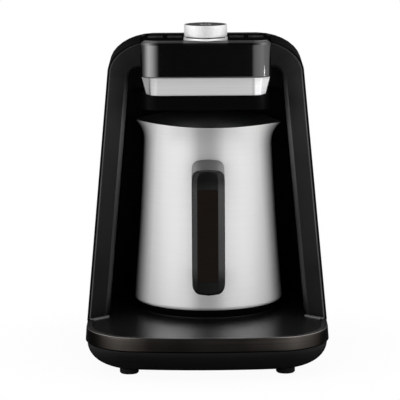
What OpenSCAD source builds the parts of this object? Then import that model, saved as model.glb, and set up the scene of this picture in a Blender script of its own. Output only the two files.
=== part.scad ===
// Electric Turkish coffee maker, millimetres.
// X to the right, Y to the back, Z up. The origin is on the table plane,
// under the middle of the base. The front is -Y.

/* [Base] */
// Width of the base at its widest line
base_w = 159; // [156:1:162]
// Depth of the base from front to back
base_d = 211; // [208:1:215]
// Height of the deck that the pot stands over
deck_z = 28.3; // [27.8:0.1:28.8]
// Radius of the two front corners of the base, seen from above
base_front_r = 44; // [40:1:46]
// Radius of the two rear corners of the base, seen from above
base_rear_r = 30; // [26:1:32]
// Height of the groove between the band and the lower shell
groove_z = 19.6; // [19:0.1:20.2]
// Height of the rubber feet
foot_h = 4.6; // [4.2:0.1:5]
// Diameter of one rubber foot
foot_d = 12.4; // [11:0.2:13]

/* [Tower] */
// Width of the tower where it stands on the deck
tower_w = 158.4; // [157.6:0.2:159]
// Height of the flat top of the tower
tower_h = 212; // [211:0.5:214]
// Inward lean of the two sides, in degrees
side_lean = 5; // [4.8:0.1:5.2]
// Width of the curve of each top corner, seen from the front
crown_w = 33; // [32:0.5:34]
// Height of the curve of each top corner, seen from the front
crown_h = 22; // [21:0.5:23]
// Backward lean of the front frame, in degrees
front_lean = 8.9; // [8.5:0.1:9.3]
// Radius where the top turns down into the back
rear_r = 60; // [58:1:62]
// Wall thickness of the moulded housings
wall = 2.5; // [2.2:0.1:2.8]

/* [Pot bay] */
// Width of the frame face on each side of the bay
frame_w = 14.2; // [13.8:0.1:14.6]
// Height of the top edge of the bay in the front frame
bay_top = 191.3; // [190.5:0.1:192]
// Depth of the slanted frame face
splay_depth = 13; // [12:0.5:14]

/* [Head] */
// Width of the head that overhangs the pot
head_w = 86; // [84:0.5:87]
// How far the head front stands forward of the origin
head_front = 29.5; // [28.5:0.5:30]
// Height of the lower edge of the black head
head_z = 187.7; // [187:0.1:188.4]
// Height of the lower edge of the silver band
band_z = 175.7; // [175:0.1:176.2]
// Height of the underside of the hood
hood_z = 165.9; // [165.5:0.1:166.3]

/* [Knob] */
// Diameter of the knob
knob_d = 28.4; // [27:0.2:29]
// Height of the top of the knob
knob_top = 221.6; // [221:0.1:222.4]
// How far the knob axis stands forward of the origin
knob_front = 13.5; // [13:0.5:14.5]

/* [Pot] */
// Distance of the pot axis behind the origin
pot_y = 9; // [8:0.5:10]
// Distance of the pot axis to the right of the middle, as it stands
pot_x = 1.1; // [0:0.1:1.5]
// Radius of the pot at the foot of its silver wall
pot_r = 50; // [49:0.5:51]
// Radius of the pot at its neck
neck_r = 43.6; // [43:0.1:44.2]
// Radius of the flared rim
rim_r = 47.2; // [47:0.1:47.8]
// Height of the rim
rim_z = 155.6; // [155:0.1:156.4]
// Thickness of the steel wall of the pot
pot_wall = 1; // [0.9:0.1:1.2]
// Width of the handle
handle_w = 21.4; // [20:0.2:22]

/* [Hidden] */

$fn = 96;
eps = 0.02;
far = 400;

// Base
half_w = base_w / 2;
half_d = base_d / 2;
bow_r = 309;
edge_in = 2.4;
shell_in = 20;
lip_in = 1.2;
base_floor = 2.4;
foot_x = 50.8;
foot_y = 73;
foot_peg_d = 5;
deck_t = 2.3;
boss_d = 8;
screw_d = 3;
screw_head_d = 6;
base_boss = [[-58, -40], [58, -40], [-58, 59], [58, 59]];
hull_steps = 5;

// Tower
lean_c = cos(side_lean);
lean_s = sin(side_lean);
side_line = tower_w / 2 * lean_c + deck_z * lean_s;
frame_front = 40.8;
frame_back = 24;
crown_n = 1.92;
arch_steps = 16;
rear_cz = tower_h - rear_r;
rear_lean = 9.3;
rear_corner_r = 28;
bay_r = 6;
bay_back = 63;
liner_t = 2;
liner_top = 176;
notch_back = 20;
notch_gap = 0.2;

// Rear cover and cable gland on the leaning back wall
cover_w = 74;
cover_h = 106;
cover_mid_z = 106.5;
cover_r = 6;
cover_gap = 0.2;
cover_screws = [for (x = [-1, 1]) for (y = [-1, 1])
    [x * (cover_w / 2 - 5), y * (cover_h / 2 - 5)]];
flange_w = 10;
flange_t = 2;
gland_x = 38;
gland_z = 40;
gland_d = 10.6;
gland_bore = 7;

// Head
head_r = 13;
head_wall = 2.2;
band_in = 3.6;
band_t = 1.6;
hood_w = 83.6;
hood_front = 25;
hood_r = 10;
hood_t = 2;
hood_bosses = [[-30, 29], [30, 29], [-30, 52], [30, 52]];
panel_in = 2;
panel_t = 1.2;
panel_drop = 0.2;
window_x = [-33.5, -20.5, 20.5, 33.5];
window_y = 2;
spacer_xy = [[-35, -8], [35, -8], [-35, 14], [35, 14]];

// Knob and encoder
ring_h = 1.05;
ring_w = 1.6;
ring_d = 29;
knob_rim = 0.6;
knob_gap = 0.75;
knob_z = tower_h + ring_h + knob_gap;
shaft_d = 6;
board_z = 200;
board_t = 1.6;
encoder_h = 6.4;
bush_h = 3;
bush_d = 7.4;
fit_gap = 0.05;
rotor_d = 9;
rotor_t = 2;
rotor_room = 3.4;

// Power board behind the bay wall
pcb_y = bay_back + liner_t + 4;
pcb_w = 62;
pcb_z0 = 44;
pcb_h = 86;
pcb_holes = [for (x = [-1, 1]) for (z = [0, 1])
    [x * (pcb_w / 2 - 4), pcb_z0 + 4 + z * (pcb_h - 8)]];

// Heater and probe
heater_d = 90;
heater_top = 28.7;
heater_t = 3;
seal_w = 2;
element_r = 31;
element_d = 6.4;
probe_d = 11.4;
probe_z = 28.7;
guide_d = 17;
spring_turns = 4;

// Pot
pot_z = 34;
pot_floor = 1.2;
neck_z = 141;
flare_r = (pow(rim_z - neck_z, 2) + pow(rim_r - neck_r, 2)) / (2 * (rim_r - neck_r));
pot_base_z = 29;
pot_base_r = 44.5;
spout_out = 1.6;
handle_top = 134.4;
handle_bottom = 52.2;
handle_front = 92;
handle_t = 13;
handle_bend = 5;
inlay_w = 13;
inlay_t = 1.2;
inlay_low = 61.2;
inlay_top = 121.8;
arm_t = 11;
bracket_w = 10;

// Outline helpers ---------------------------------------------------------

// Plan of the base, shrunk by an inset
module base_plan(inset) {
    fr = base_front_r - inset;
    rr = base_rear_r - inset;
    w = half_w - inset;
    intersection() {
        union() {
            for (s = [-1, 1]) {
                translate([s * (w - fr), inset - half_d + fr]) circle(fr);
                translate([s * (w - rr), half_d - inset - rr]) circle(rr);
            }
            translate([-w, inset - half_d + fr])
                square([2 * w, 2 * (half_d - inset) - fr - rr]);
            translate([-(w - fr), inset - half_d]) square([2 * (w - fr), fr + 1]);
            translate([-(w - rr), half_d - inset - rr - 1]) square([2 * (w - rr), rr + 1]);
        }
        translate([0, bow_r - half_d]) circle(bow_r - inset, $fn = 360);
    }
}

// Half width of the tower's leaning side line at a height, shrunk by an inset
function line_at(z, inset) = (side_line - inset - z * lean_s) / lean_c;

// Angle at which a corner curve w wide and h high meets the leaning side
function meet_angle(w, h) = atan(pow(h / w * tan(side_lean), 1 / (2 - 2 / crown_n)));

// Height above the corner's middle at which it meets the leaning side
function meet_rise(w, h) = h * pow(sin(meet_angle(w, h)), 2 / crown_n);

// Middle of the corner curve, sideways
function corner_x(inset, top, w, h) =
    line_at(top - h + meet_rise(w, h), inset) - w * pow(cos(meet_angle(w, h)), 2 / crown_n);

// Points of the right half of the tower's front view, from the foot up: the
// leaning side, then a corner curve w wide and h high up to the flat top
function arch_side(inset, top, w, h, z0) =
    let (t0 = meet_angle(w, h), cx = corner_x(inset, top, w, h))
    concat([[line_at(z0, inset), z0]],
           [for (i = [0 : arch_steps]) let (t = t0 + (90 - t0) * i / arch_steps)
               [cx + w * pow(cos(t), 2 / crown_n), top - h + h * pow(sin(t), 2 / crown_n)]]);

// Front view of the tower: sides that lean in by side_lean and a round
// corner at each side of the flat top. x is X, y is Z.
module arch(inset, top, w, h, z0 = deck_z) {
    side = arch_side(inset, top, w, h, z0);
    n = len(side) - 1;
    polygon(concat(side, [for (i = [n : -1 : 0]) [-side[i][0], side[i][1]]]));
}

// An XZ outline pushed along Y from y0 to y1
module along_y(y0, y1) {
    translate([0, y1, 0]) rotate([90, 0, 0]) linear_extrude(y1 - y0) children();
}

// A YZ outline pushed along X, symmetric about the middle plane
module along_x(width) {
    translate([-width / 2, 0, 0]) rotate([90, 0, 90]) linear_extrude(width) children();
}

// Everything behind the leaning front plane, moved back by a shift, up to y1
module behind_front(shift, z0, y1) {
    y0 = shift - frame_front;
    top = tower_h + 20;
    along_x(far)
        polygon([[y0 + (z0 - deck_z) * tan(front_lean), z0], [y1, z0], [y1, top],
                 [y0 + (top - deck_z) * tan(front_lean), top]]);
}

// Depth of the tower body at a height, measured on its back, shrunk by an inset
function back_at(z, inset) =
    let (r = rear_r - inset, tz = rear_cz + r * sin(rear_lean))
    z < tz ? frame_back + r * cos(rear_lean) + (tz - z) * tan(rear_lean)
           : frame_back + sqrt(max(0, r * r - pow(z - rear_cz, 2)));

// Half width of the tower body at a height, shrunk by an inset
function half_at(z, inset) =
    let (w = crown_w - inset, h = crown_h - inset, rise = z - tower_h + crown_h)
    rise < meet_rise(w, h) ? line_at(z, inset)
        : corner_x(inset, tower_h - inset, w, h)
          + w * pow(max(0, 1 - pow(rise / h, crown_n)), 1 / crown_n);

// Convex tower body, shrunk by an inset. Its plan has two round rear corners
// at every height and a flat front at y0. The top corner is cut into steps.
module tower_body(inset, z0, y0, steps, sides) {
    top = tower_h - inset;
    levels = concat([z0, rear_cz + 10, 174, 183],
                    [for (i = [0 : steps - 1])
                        tower_h - crown_h + (crown_h - inset) * sin(90 * (i + 0.1) / steps)],
                    [top - eps]);
    hull()
        for (z = levels) {
            w = half_at(z, inset);
            back = back_at(z, inset);
            r = min(rear_corner_r - inset, (back - frame_back) / 2);
            translate([0, 0, z])
                linear_extrude(eps) {
                    translate([-w, y0]) square([2 * w, frame_back - y0 + 0.4]);
                    for (s = [-1, 1])
                        translate([s * (w - r), back - r]) circle(r, $fn = sides);
                }
        }
}

// Rounded rectangle on the XY plane, centred
module rounded(w, d, r) {
    square([w - 2 * r, d], center = true);
    square([w, d - 2 * r], center = true);
    for (x = [-1, 1]) for (y = [-1, 1])
        translate([x * (w / 2 - r), y * (d / 2 - r)]) circle(r);
}

// Plan of the head: round front corners, straight back at y1
module head_plan(w, front, r, y1) {
    for (s = [-1, 1]) translate([s * (w / 2 - r), r - front]) circle(r);
    translate([r - w / 2, -front]) square([w - 2 * r, r + 1]);
    translate([-w / 2, r - front]) square([w, y1 + front - r]);
}

// A pan-head screw pointing along -Z, its head seated on z = 0
module screw(length, d = screw_d, head_d = screw_head_d) {
    head_h = d * 0.6;
    difference() {
        cylinder(h = head_h, d = head_d);
        translate([0, 0, head_h / 2]) cylinder(h = head_h, d = d * 0.8, $fn = 6);
    }
    translate([0, 0, -length]) cylinder(h = length + eps, d = d);
}

// A straight run of wire between two points, drawn a little long at both ends
module wire(a, b, d) {
    v = b - a;
    len_v = norm(v);
    over = d * 0.3;
    translate(a)
        rotate([0, acos(v[2] / len_v), atan2(v[1], v[0])])
            translate([0, 0, -over]) cylinder(h = len_v + 2 * over, d = d, $fn = 24);
}

// A wire route through a list of points
module route(points, d) {
    for (i = [0 : len(points) - 2]) wire(points[i], points[i + 1], d - i % 2 * 0.1);
}

// Local frame on the outer back face: x is X, y is up the face, z is outward
module on_back(z) {
    translate([0, back_at(deck_z, 0) - (z - deck_z) * tan(rear_lean), z])
        rotate([90 - rear_lean, 0, 180]) children();
}

// Base --------------------------------------------------------------------

// Convex lower shell: the outline draws in along a quarter ellipse
module shell_solid(inset, z_low) {
    z_high = groove_z;
    hull()
        for (i = [0 : hull_steps]) {
            a = 90 * i / hull_steps;
            z = z_high - eps - (z_high - eps - z_low) * sin(a);
            translate([0, 0, z])
                linear_extrude(eps)
                    base_plan(inset + lip_in + (shell_in - lip_in) * (1 - cos(a)), $fn = 64);
        }
}

module base_shell() {
    color("#0b0b0c") {
        difference() {
            shell_solid(0, foot_h);
            intersection() {
                shell_solid(wall, foot_h);
                translate([-far / 2, -far / 2, foot_h + base_floor]) cube([far, far, far]);
            }
            for (x = [-1, 1]) for (y = [-1, 1])
                translate([x * foot_x, y * foot_y, 0])
                    cylinder(h = foot_h + base_floor + 1, d = foot_peg_d);
            for (p = base_boss)
                translate([p[0], p[1], foot_h - eps])
                    cylinder(h = base_floor + 1, d = screw_d + 0.4);
        }
        for (p = base_boss)
            translate([p[0], p[1], foot_h + base_floor - eps])
                difference() {
                    cylinder(h = groove_z - foot_h - base_floor, d = boss_d);
                    translate([0, 0, -eps]) cylinder(h = groove_z, d = screw_d + 0.4);
                }
    }
}

module base_band() {
    z_top = deck_z;
    color("#3a3430")
        difference() {
            hull() {
                translate([0, 0, groove_z + 0.6]) linear_extrude(eps) base_plan(0);
                translate([0, 0, z_top - 1.4]) linear_extrude(eps) base_plan(0.6);
                translate([0, 0, z_top - 0.5]) linear_extrude(eps) base_plan(1.1);
                translate([0, 0, z_top - eps]) linear_extrude(eps) base_plan(edge_in - 0.5);
            }
            translate([0, 0, groove_z - 1]) linear_extrude(z_top) base_plan(edge_in);
        }
    color("#161514")
        translate([0, 0, groove_z])
            linear_extrude(0.6 + eps)
                difference() {
                    base_plan(1.2);
                    base_plan(edge_in + 0.6);
                }
}

module base_deck() {
    color("#141313")
        difference() {
            translate([0, 0, deck_z - deck_t]) linear_extrude(deck_t) base_plan(edge_in);
            translate([pot_x, pot_y, 0]) cylinder(h = deck_z + 1, d = heater_d + 2 * seal_w);
            translate([-46, bay_back + 6, 0]) cube([92, 24, deck_z + 1]);
            for (s = [-1, 1]) translate([s * 72, 10, 0]) cylinder(h = deck_z + 1, d = 6);
        }
    color("#141313")
        for (p = base_boss)
            translate([p[0], p[1], groove_z + eps])
                difference() {
                    cylinder(h = deck_z - deck_t - groove_z, d = boss_d);
                    translate([0, 0, -eps]) cylinder(h = 5, d = screw_d);
                }
}

module rubber_feet() {
    color("#101010")
        for (x = [-1, 1]) for (y = [-1, 1])
            translate([x * foot_x, y * foot_y, 0]) {
                rotate_extrude()
                    polygon([[0, 0], [foot_d / 2 - 0.8, 0], [foot_d / 2, 0.8],
                             [foot_d / 2, foot_h], [0, foot_h]]);
                translate([0, 0, foot_h - eps])
                    cylinder(h = base_floor + 0.6, d = foot_peg_d - 2 * fit_gap);
            }
}

module base_screws() {
    color("#8f9296")
        for (p = base_boss)
            translate([p[0], p[1], foot_h])
                rotate([180, 0, 0]) {
                    cylinder(h = 0.4, d = screw_head_d);
                    translate([0, 0, eps - 19]) cylinder(h = 19, d = screw_d);
                }
}

// Heater ------------------------------------------------------------------

module heater_plate() {
    color("#2a2a2c")
        translate([pot_x, pot_y, heater_top - heater_t])
            difference() {
                union() {
                    cylinder(h = heater_t, d = heater_d);
                    translate([0, 0, -1]) cylinder(h = 1 + eps, d = heater_d - 8);
                }
                translate([0, 0, -2]) cylinder(h = heater_t + 4, d = guide_d);
            }
}

module heater_seal() {
    z0 = deck_z - deck_t;
    color("#1b1b1b")
        translate([pot_x, pot_y, z0])
            difference() {
                cylinder(h = deck_t, d = heater_d + 2 * seal_w);
                translate([0, 0, -1]) cylinder(h = deck_t + 2, d = heater_d);
            }
}

module heating_element() {
    z0 = heater_top - heater_t - 1 - element_d / 2;
    color("#8a8d92")
        translate([pot_x, pot_y, z0]) {
            rotate_extrude() translate([element_r, 0]) circle(d = element_d);
            for (s = [-1, 1])
                translate([s * 10, sqrt(element_r * element_r - 100), 0])
                    rotate([-90, 0, 0]) cylinder(h = 14, d = 4);
        }
}

module heater_bracket() {
    z0 = heater_top - heater_t - 1 - element_d - 1.2;
    arm_x = 50;
    arm_w = 12;
    leg_h = z0 - foot_h - base_floor;
    color("#9a9da1")
        translate([pot_x, pot_y, 0])
            difference() {
                union() {
                    translate([0, 0, z0]) cylinder(h = 1.2, d = 2 * element_r + 10);
                    translate([-arm_x, -arm_w / 2, z0]) cube([2 * arm_x, arm_w, 1.2]);
                    for (s = [-1, 1])
                        translate([s * (arm_x - 0.6) - 0.6, -arm_w / 2, foot_h + base_floor])
                            cube([1.2, arm_w, leg_h + 1.2]);
                }
                translate([0, 0, z0 - 1]) cylinder(h = 4, d = guide_d + 0.4);
                translate([0, 0, z0 - 1])
                    difference() {
                        cylinder(h = 4, d = 2 * element_r - 12);
                        cylinder(h = 4, d = guide_d + 8);
                        translate([-arm_x, -arm_w / 2, 0]) cube([2 * arm_x, arm_w, 4]);
                    }
            }
}

module thermal_fuse() {
    z0 = heater_top - heater_t - 1 - 5.2;
    color("#c9c4b4")
        translate([pot_x - 20, pot_y, z0]) {
            translate([0, 0, 0.2]) cylinder(h = 5, d = 9);
            translate([-6.4, -1.5, 0.2]) cube([3.4, 3, 1]);
            translate([3, -1.5, 0.2]) cube([3.4, 3, 1]);
        }
}

module probe_guide() {
    z0 = foot_h + base_floor;
    color("#d8d3c8")
        translate([pot_x, pot_y, z0])
            difference() {
                union() {
                    cylinder(h = heater_top - 0.6 - z0, d = guide_d);
                    cylinder(h = 1.6, d = guide_d + 8);
                }
                translate([0, 0, 1.6]) cylinder(h = 40, d = probe_d + 0.2);
            }
}

// Wire ring k of the spring: 8 points around the helix at that step
function spring_ring(k, steps, rise, r, wire_d) =
    let (a = 360 * spring_turns * k / steps, z = rise * k / steps)
    [for (j = [0 : 7]) let (b = 45 * j, q = r + wire_d / 2 * cos(b))
        [q * cos(a), q * sin(a), z + wire_d / 2 * sin(b)]];

module probe_spring() {
    z0 = foot_h + base_floor + 1.6;
    wire_d = 0.8;
    rise = probe_z - 10 - 0.1 - z0 - wire_d;
    steps = 18 * spring_turns;
    rings = [for (k = [0 : steps]) each spring_ring(k, steps, rise, 3.8, wire_d)];
    sides = [for (k = [0 : steps - 1]) for (j = [0 : 7])
        [8 * k + j, 8 * k + (j + 1) % 8, 8 * k + 8 + (j + 1) % 8, 8 * k + 8 + j]];
    color("#b9bcc0")
        translate([pot_x, pot_y, z0 + wire_d / 2])
            polyhedron(rings, concat([[for (j = [7 : -1 : 0]) j]], sides,
                                     [[for (j = [0 : 7]) 8 * steps + j]]));
}

module temperature_probe() {
    color("#b0b3b8")
        translate([pot_x, pot_y, probe_z - 10]) {
            difference() {
                cylinder(h = 10, d = probe_d);
                translate([0, 0, -1]) cylinder(h = 9, d = probe_d - 2);
            }
            translate([0, 0, 3]) cylinder(h = 6, d = 3);
        }
}

// Tower -------------------------------------------------------------------

// Slab of a front-view outline laid in the leaning front plane, back_by behind it
module leaning_slab(back_by) {
    translate([0, back_by - frame_front, deck_z])
        rotate([90 - front_lean, 0, 0])
            linear_extrude(eps)
                scale([1, 1 / cos(front_lean)]) translate([0, -deck_z]) children();
}

module front_frame() {
    edge = 1.4;
    hollow_shift = splay_depth + 5;
    reach = 1.3;
    color("#201f1f")
        difference() {
            intersection() {
                along_y(-frame_front - 1, frame_back) arch(0, tower_h, crown_w, crown_h);
                behind_front(0, deck_z - 1, frame_back + 1);
            }
            along_y(-far / 2, far / 2) arch(frame_w, bay_top, bay_r, bay_r, deck_z - 1);
            hull() {
                leaning_slab(-0.5)
                    arch(edge, tower_h - edge, crown_w - edge, crown_h - edge, deck_z - 1);
                leaning_slab(splay_depth * reach)
                    arch(edge + (frame_w - edge) * reach,
                         tower_h - edge - (tower_h - edge - bay_top) * reach, 1, 1, deck_z - 1);
            }
            difference() {
                intersection() {
                    along_y(-far / 2, far / 2)
                        arch(wall, tower_h - wall, crown_w - wall, crown_h - wall, deck_z - 1);
                    behind_front(hollow_shift, deck_z - 2, far / 4);
                }
                along_y(-far / 2 - 1, far / 2 + 1)
                    arch(frame_w - wall, bay_top + wall, bay_r + wall, bay_r + wall, deck_z - 3);
            }
            translate([-head_w / 2 - notch_gap, -far / 2, band_z])
                cube([head_w + 2 * notch_gap, far / 2 + notch_back + notch_gap, 60]);
        }
}

module tower_shell() {
    color("#1c1b1b") {
        difference() {
            tower_body(0, deck_z, frame_back - 2, 9, 32);
            tower_body(wall, deck_z - 1, frame_back - 3, 4, 16);
            translate([-far / 2, frame_back - far, 0]) cube([far, far, far]);
            on_back(cover_mid_z)
                translate([0, 0, -wall * 2]) linear_extrude(wall * 4)
                    rounded(cover_w + 2 * cover_gap, cover_h + 2 * cover_gap, cover_r);
            on_back(gland_z)
                translate([-gland_x, 0, -wall * 2]) cylinder(h = wall * 4, d = gland_d);
        }
        on_back(cover_mid_z)
            translate([0, 0, -wall - flange_t]) {
                linear_extrude(flange_t)
                    difference() {
                        rounded(cover_w + 6, cover_h + 6, cover_r);
                        rounded(cover_w - 2 * flange_w, cover_h - 2 * flange_w, cover_r);
                        for (p = cover_screws) translate(p) circle(d = screw_d - 0.4);
                    }
                linear_extrude(flange_t + 1)
                    difference() {
                        rounded(cover_w + 6, cover_h + 6, cover_r);
                        rounded(cover_w + 2 * cover_gap, cover_h + 2 * cover_gap, cover_r);
                    }
            }
    }
}

module rear_cover() {
    rows = 9;
    slot_w = 22;
    slot_h = 3;
    pitch = 7;
    color("#1c1b1b")
        on_back(cover_mid_z)
            translate([0, 0, -wall])
                linear_extrude(wall)
                    difference() {
                        rounded(cover_w, cover_h, cover_r);
                        for (p = cover_screws) translate(p) circle(d = screw_d + 0.2);
                        for (i = [0 : rows - 1]) for (s = [-1, 1])
                            translate([s * 14, 44 - cover_h / 2 + i * pitch])
                                rounded(slot_w, slot_h, slot_h / 2 - 0.1);
                    }
}

module rear_screws() {
    color("#2b2b2d")
        on_back(cover_mid_z)
            for (p = cover_screws) translate([p[0], p[1], 0]) screw(8, screw_d - 0.4);
}

module cable_gland() {
    rim_t = 1.2;
    nut_t = 3;
    color("#141414")
        on_back(gland_z)
            translate([-gland_x, 0, 0])
                difference() {
                    union() {
                        translate([0, 0, -wall - nut_t - fit_gap])
                            cylinder(h = wall + nut_t + rim_t, d = gland_d - 2 * fit_gap);
                        translate([0, 0, fit_gap]) cylinder(h = rim_t, d = gland_d + 2.4);
                        translate([0, 0, -wall - nut_t - 2 * fit_gap])
                            cylinder(h = nut_t, d = gland_d + 3.4);
                    }
                    translate([0, 0, -20]) cylinder(h = 30, d = gland_bore);
                }
}

module bay_liner() {
    color("#0a0a0b")
        difference() {
            union() {
                difference() {
                    along_y(frame_back, bay_back + liner_t)
                        arch(frame_w - liner_t, liner_top + liner_t,
                             bay_r + liner_t, bay_r + liner_t);
                    along_y(frame_back - 1, bay_back)
                        arch(frame_w, liner_top, bay_r, bay_r, deck_z - 1);
                }
                difference() {
                    along_y(notch_back, frame_back)
                        arch(frame_w + 2 * fit_gap, bay_top - fit_gap, bay_r, bay_r);
                    along_y(notch_back - 1, frame_back + 1)
                        arch(frame_w, liner_top, bay_r, bay_r, deck_z - 1);
                }
            }
            translate([-30, 0, liner_top + liner_t + 1]) cube([60, frame_back + 1, 8]);
            translate([-12, bay_back - 1, liner_top - 10]) cube([24, 5, 8]);
            for (p = hood_bosses)
                translate([p[0], p[1], liner_top - 1]) cylinder(h = 5, d = screw_d);
        }
}

// Head --------------------------------------------------------------------

module head_shell() {
    color("#08080a")
        translate([0, 0, head_z])
            difference() {
                linear_extrude(tower_h - head_z)
                    head_plan(head_w, head_front, head_r, notch_back);
                translate([0, 0, -1])
                    linear_extrude(tower_h - head_z - 2.4)
                        head_plan(head_w - 2 * head_wall, head_front - head_wall,
                                  head_r - head_wall, notch_back + 1);
                translate([0, 0, tower_h - head_z - panel_t - panel_drop])
                    linear_extrude(5)
                        head_plan(head_w - 2 * panel_in - 2, head_front - 7,
                                  head_r - 5, notch_back - panel_in);
                translate([0, -knob_front, 0]) cylinder(h = 40, d = bush_d + 2);
                translate([0, -knob_front, tower_h - head_z - panel_t - panel_drop])
                    cylinder(h = 5, d = ring_d + 0.2);
                for (x = window_x)
                    translate([x - 4, window_y - 3, 0]) cube([8, 6, 40]);
            }
}

module control_panel() {
    color("#121214")
        translate([0, 0, tower_h - panel_t - panel_drop])
            linear_extrude(panel_t)
                difference() {
                    head_plan(head_w - 2 * panel_in - 2.2, head_front - 7.1,
                              head_r - 5.1, notch_back - panel_in - 0.1);
                    translate([0, -knob_front]) circle(d = ring_d + 0.2);
                    for (x = window_x)
                        translate([x, window_y]) rounded(10, 14, 1.5);
                }
}

module touch_windows() {
    color("#3a3c40")
        for (x = window_x)
            translate([x, window_y, tower_h - panel_t - panel_drop])
                linear_extrude(panel_t) rounded(9.9, 13.9, 1.45);
}

module indicator_leds() {
    color("#e8e6da")
        for (x = window_x)
            translate([x, window_y, board_z + board_t]) {
                translate([-1.6, -1.4, 0]) cube([3.2, 2.8, 1.2]);
                translate([0, 0, 1.2 - eps]) cylinder(h = 3, d = 2.4);
            }
}

module control_board() {
    color("#1f5b3a")
        translate([0, 0, board_z])
            linear_extrude(board_t)
                difference() {
                    head_plan(head_w - 10, head_front - 8, 5, notch_back - 2);
                    for (p = spacer_xy) translate(p) circle(d = 2.6);
                }
}

module board_spacers() {
    top = tower_h - 3.4;
    color("#cfccc4")
        for (p = spacer_xy)
            translate([p[0], p[1], board_z + board_t])
                difference() {
                    cylinder(h = top - board_z - board_t, d = 4.6);
                    translate([0, 0, -1]) cylinder(h = 6, d = 2.2);
                }
}

module encoder_body() {
    color("#56595e")
        translate([0, -knob_front, board_z + board_t])
            difference() {
                union() {
                    translate([-6, -6, 0]) cube([12, 12, encoder_h]);
                    cylinder(h = encoder_h + bush_h, d = bush_d);
                }
                translate([0, 0, 1]) cylinder(h = rotor_room, d = rotor_d + 4 * fit_gap);
                translate([0, 0, 1]) cylinder(h = 20, d = shaft_d + 2 * fit_gap);
            }
}

module knob_ring() {
    color("#d4d6d8")
        translate([0, -knob_front, tower_h - panel_t - panel_drop])
            difference() {
                cylinder(h = ring_h + panel_t + panel_drop, d = ring_d);
                translate([0, 0, -1]) cylinder(h = 10, d = ring_d - 2 * ring_w);
            }
}

module buzzer() {
    color("#1a1a1c")
        translate([22, -10, board_z - 5])
            difference() {
                cylinder(h = 5, d = 9);
                translate([0, 0, -1]) cylinder(h = 3, d = 1.6);
            }
}

// Silver band: draws in on both sides and at the front towards the bottom
module band_solid(inset) {
    hull() {
        translate([0, 0, head_z - eps]) linear_extrude(eps)
            head_plan(head_w - 2 * inset, head_front - inset, head_r - inset, notch_back);
        translate([0, 0, band_z]) linear_extrude(eps)
            head_plan(head_w - 2 * band_in - 2 * inset, head_front - 2 - inset,
                      head_r - 1 - inset, notch_back);
    }
}

module head_band() {
    color("#c4c5c6")
        difference() {
            band_solid(0);
            difference() {
                band_solid(band_t);
                translate([-far / 2, notch_back - band_t, 0]) cube([far, far, far]);
            }
            translate([-30, 0, band_z + 1]) cube([60, far, head_z - band_z - 2]);
            translate([0, 0, band_z - 1])
                linear_extrude(3)
                    head_plan(head_w - 2 * band_in - 2 * band_t, head_front - 2 - band_t,
                              head_r - 1 - band_t, notch_back - band_t);
            translate([0, 0, head_z - 0.5])
                linear_extrude(1)
                    head_plan(head_w - 2 * band_t - 0.8, head_front - band_t - 0.5,
                              head_r - band_t - 0.4, notch_back - band_t - 0.3);
        }
}

module head_hood() {
    hood_top = band_z;
    color("#060607")
        difference() {
            union() {
                difference() {
                    translate([0, 0, hood_z])
                        linear_extrude(hood_top - hood_z)
                            head_plan(hood_w, hood_front, hood_r, bay_back);
                    translate([0, 0, hood_z + hood_t])
                        linear_extrude(far)
                            head_plan(hood_w - 2 * hood_t, hood_front - hood_t,
                                      hood_r - hood_t, bay_back - hood_t);
                }
                for (p = hood_bosses)
                    translate([p[0], p[1], hood_z + 1])
                        cylinder(h = hood_top - hood_z - 1, d = boss_d);
            }
            translate([pot_x, pot_y, hood_z - 1]) cylinder(h = 5, d = 9);
            for (p = hood_bosses)
                translate([p[0], p[1], hood_z - 1]) cylinder(h = 20, d = screw_d + 0.2);
            translate([-12, bay_back - 4, liner_top - 10]) cube([24, 8, 10]);
        }
}

module hood_screws() {
    length = liner_top + liner_t + 0.6 - hood_z;
    color("#3a3a3c")
        for (p = hood_bosses)
            translate([p[0], p[1], hood_z]) rotate([180, 0, 0]) {
                cylinder(h = 0.8, d = 5);
                translate([0, 0, -length]) cylinder(h = length + eps, d = screw_d);
            }
}

module foam_sensor_lens() {
    color("#20262e")
        translate([pot_x, pot_y, hood_z - 0.8]) {
            cylinder(h = hood_t + 0.8 + eps, d = 9 - 2 * fit_gap);
            translate([0, 0, hood_t + 0.8]) cylinder(h = 1.4, d = 12);
        }
}

module foam_sensor_board() {
    z0 = hood_z + hood_t + 1.4;
    color("#1f5b3a")
        translate([pot_x, pot_y, z0]) {
            translate([-14, -9, 0]) cube([28, 18, 1.4]);
            translate([-3, -2.5, 1.4 - eps]) cube([6, 5, 2.4]);
        }
}

// Power electronics behind the pot bay ------------------------------------

module power_board() {
    color("#1f5b3a")
        along_y(pcb_y, pcb_y + board_t)
            difference() {
                translate([-pcb_w / 2, pcb_z0]) square([pcb_w, pcb_h]);
                for (p = pcb_holes) translate(p) circle(d = 3);
            }
}

module power_spacers() {
    color("#cfccc4")
        for (p = pcb_holes)
            translate([p[0], pcb_y, p[1]]) rotate([90, 0, 0])
                difference() {
                    cylinder(h = 4, d = 6);
                    translate([0, 0, -1]) cylinder(h = 4, d = 2.6);
                }
}

module relay() {
    color("#2458a8")
        translate([-26, pcb_y + board_t, 78]) cube([15, 11, 19]);
}

module capacitor() {
    color("#23252b")
        translate([18, pcb_y + board_t, 96])
            rotate([-90, 0, 0]) {
                cylinder(h = 1, d = 11);
                translate([0, 0, 1 - eps]) cylinder(h = 8, d = 10);
            }
}

module transformer() {
    color("#c7a437")
        translate([-4, pcb_y + board_t, 72])
            difference() {
                cube([20, 13, 18]);
                for (s = [-1, 20]) translate([s - 0.5, 3, -1]) cube([2, 7, 20]);
            }
}

module terminal_block() {
    color("#3f8f56")
        translate([-22, pcb_y + board_t, 50])
            difference() {
                cube([30, 10, 9]);
                for (i = [0 : 3])
                    translate([4 + i * 7.3, 5, 4]) cylinder(h = 6, d = 3.6);
            }
}

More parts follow.
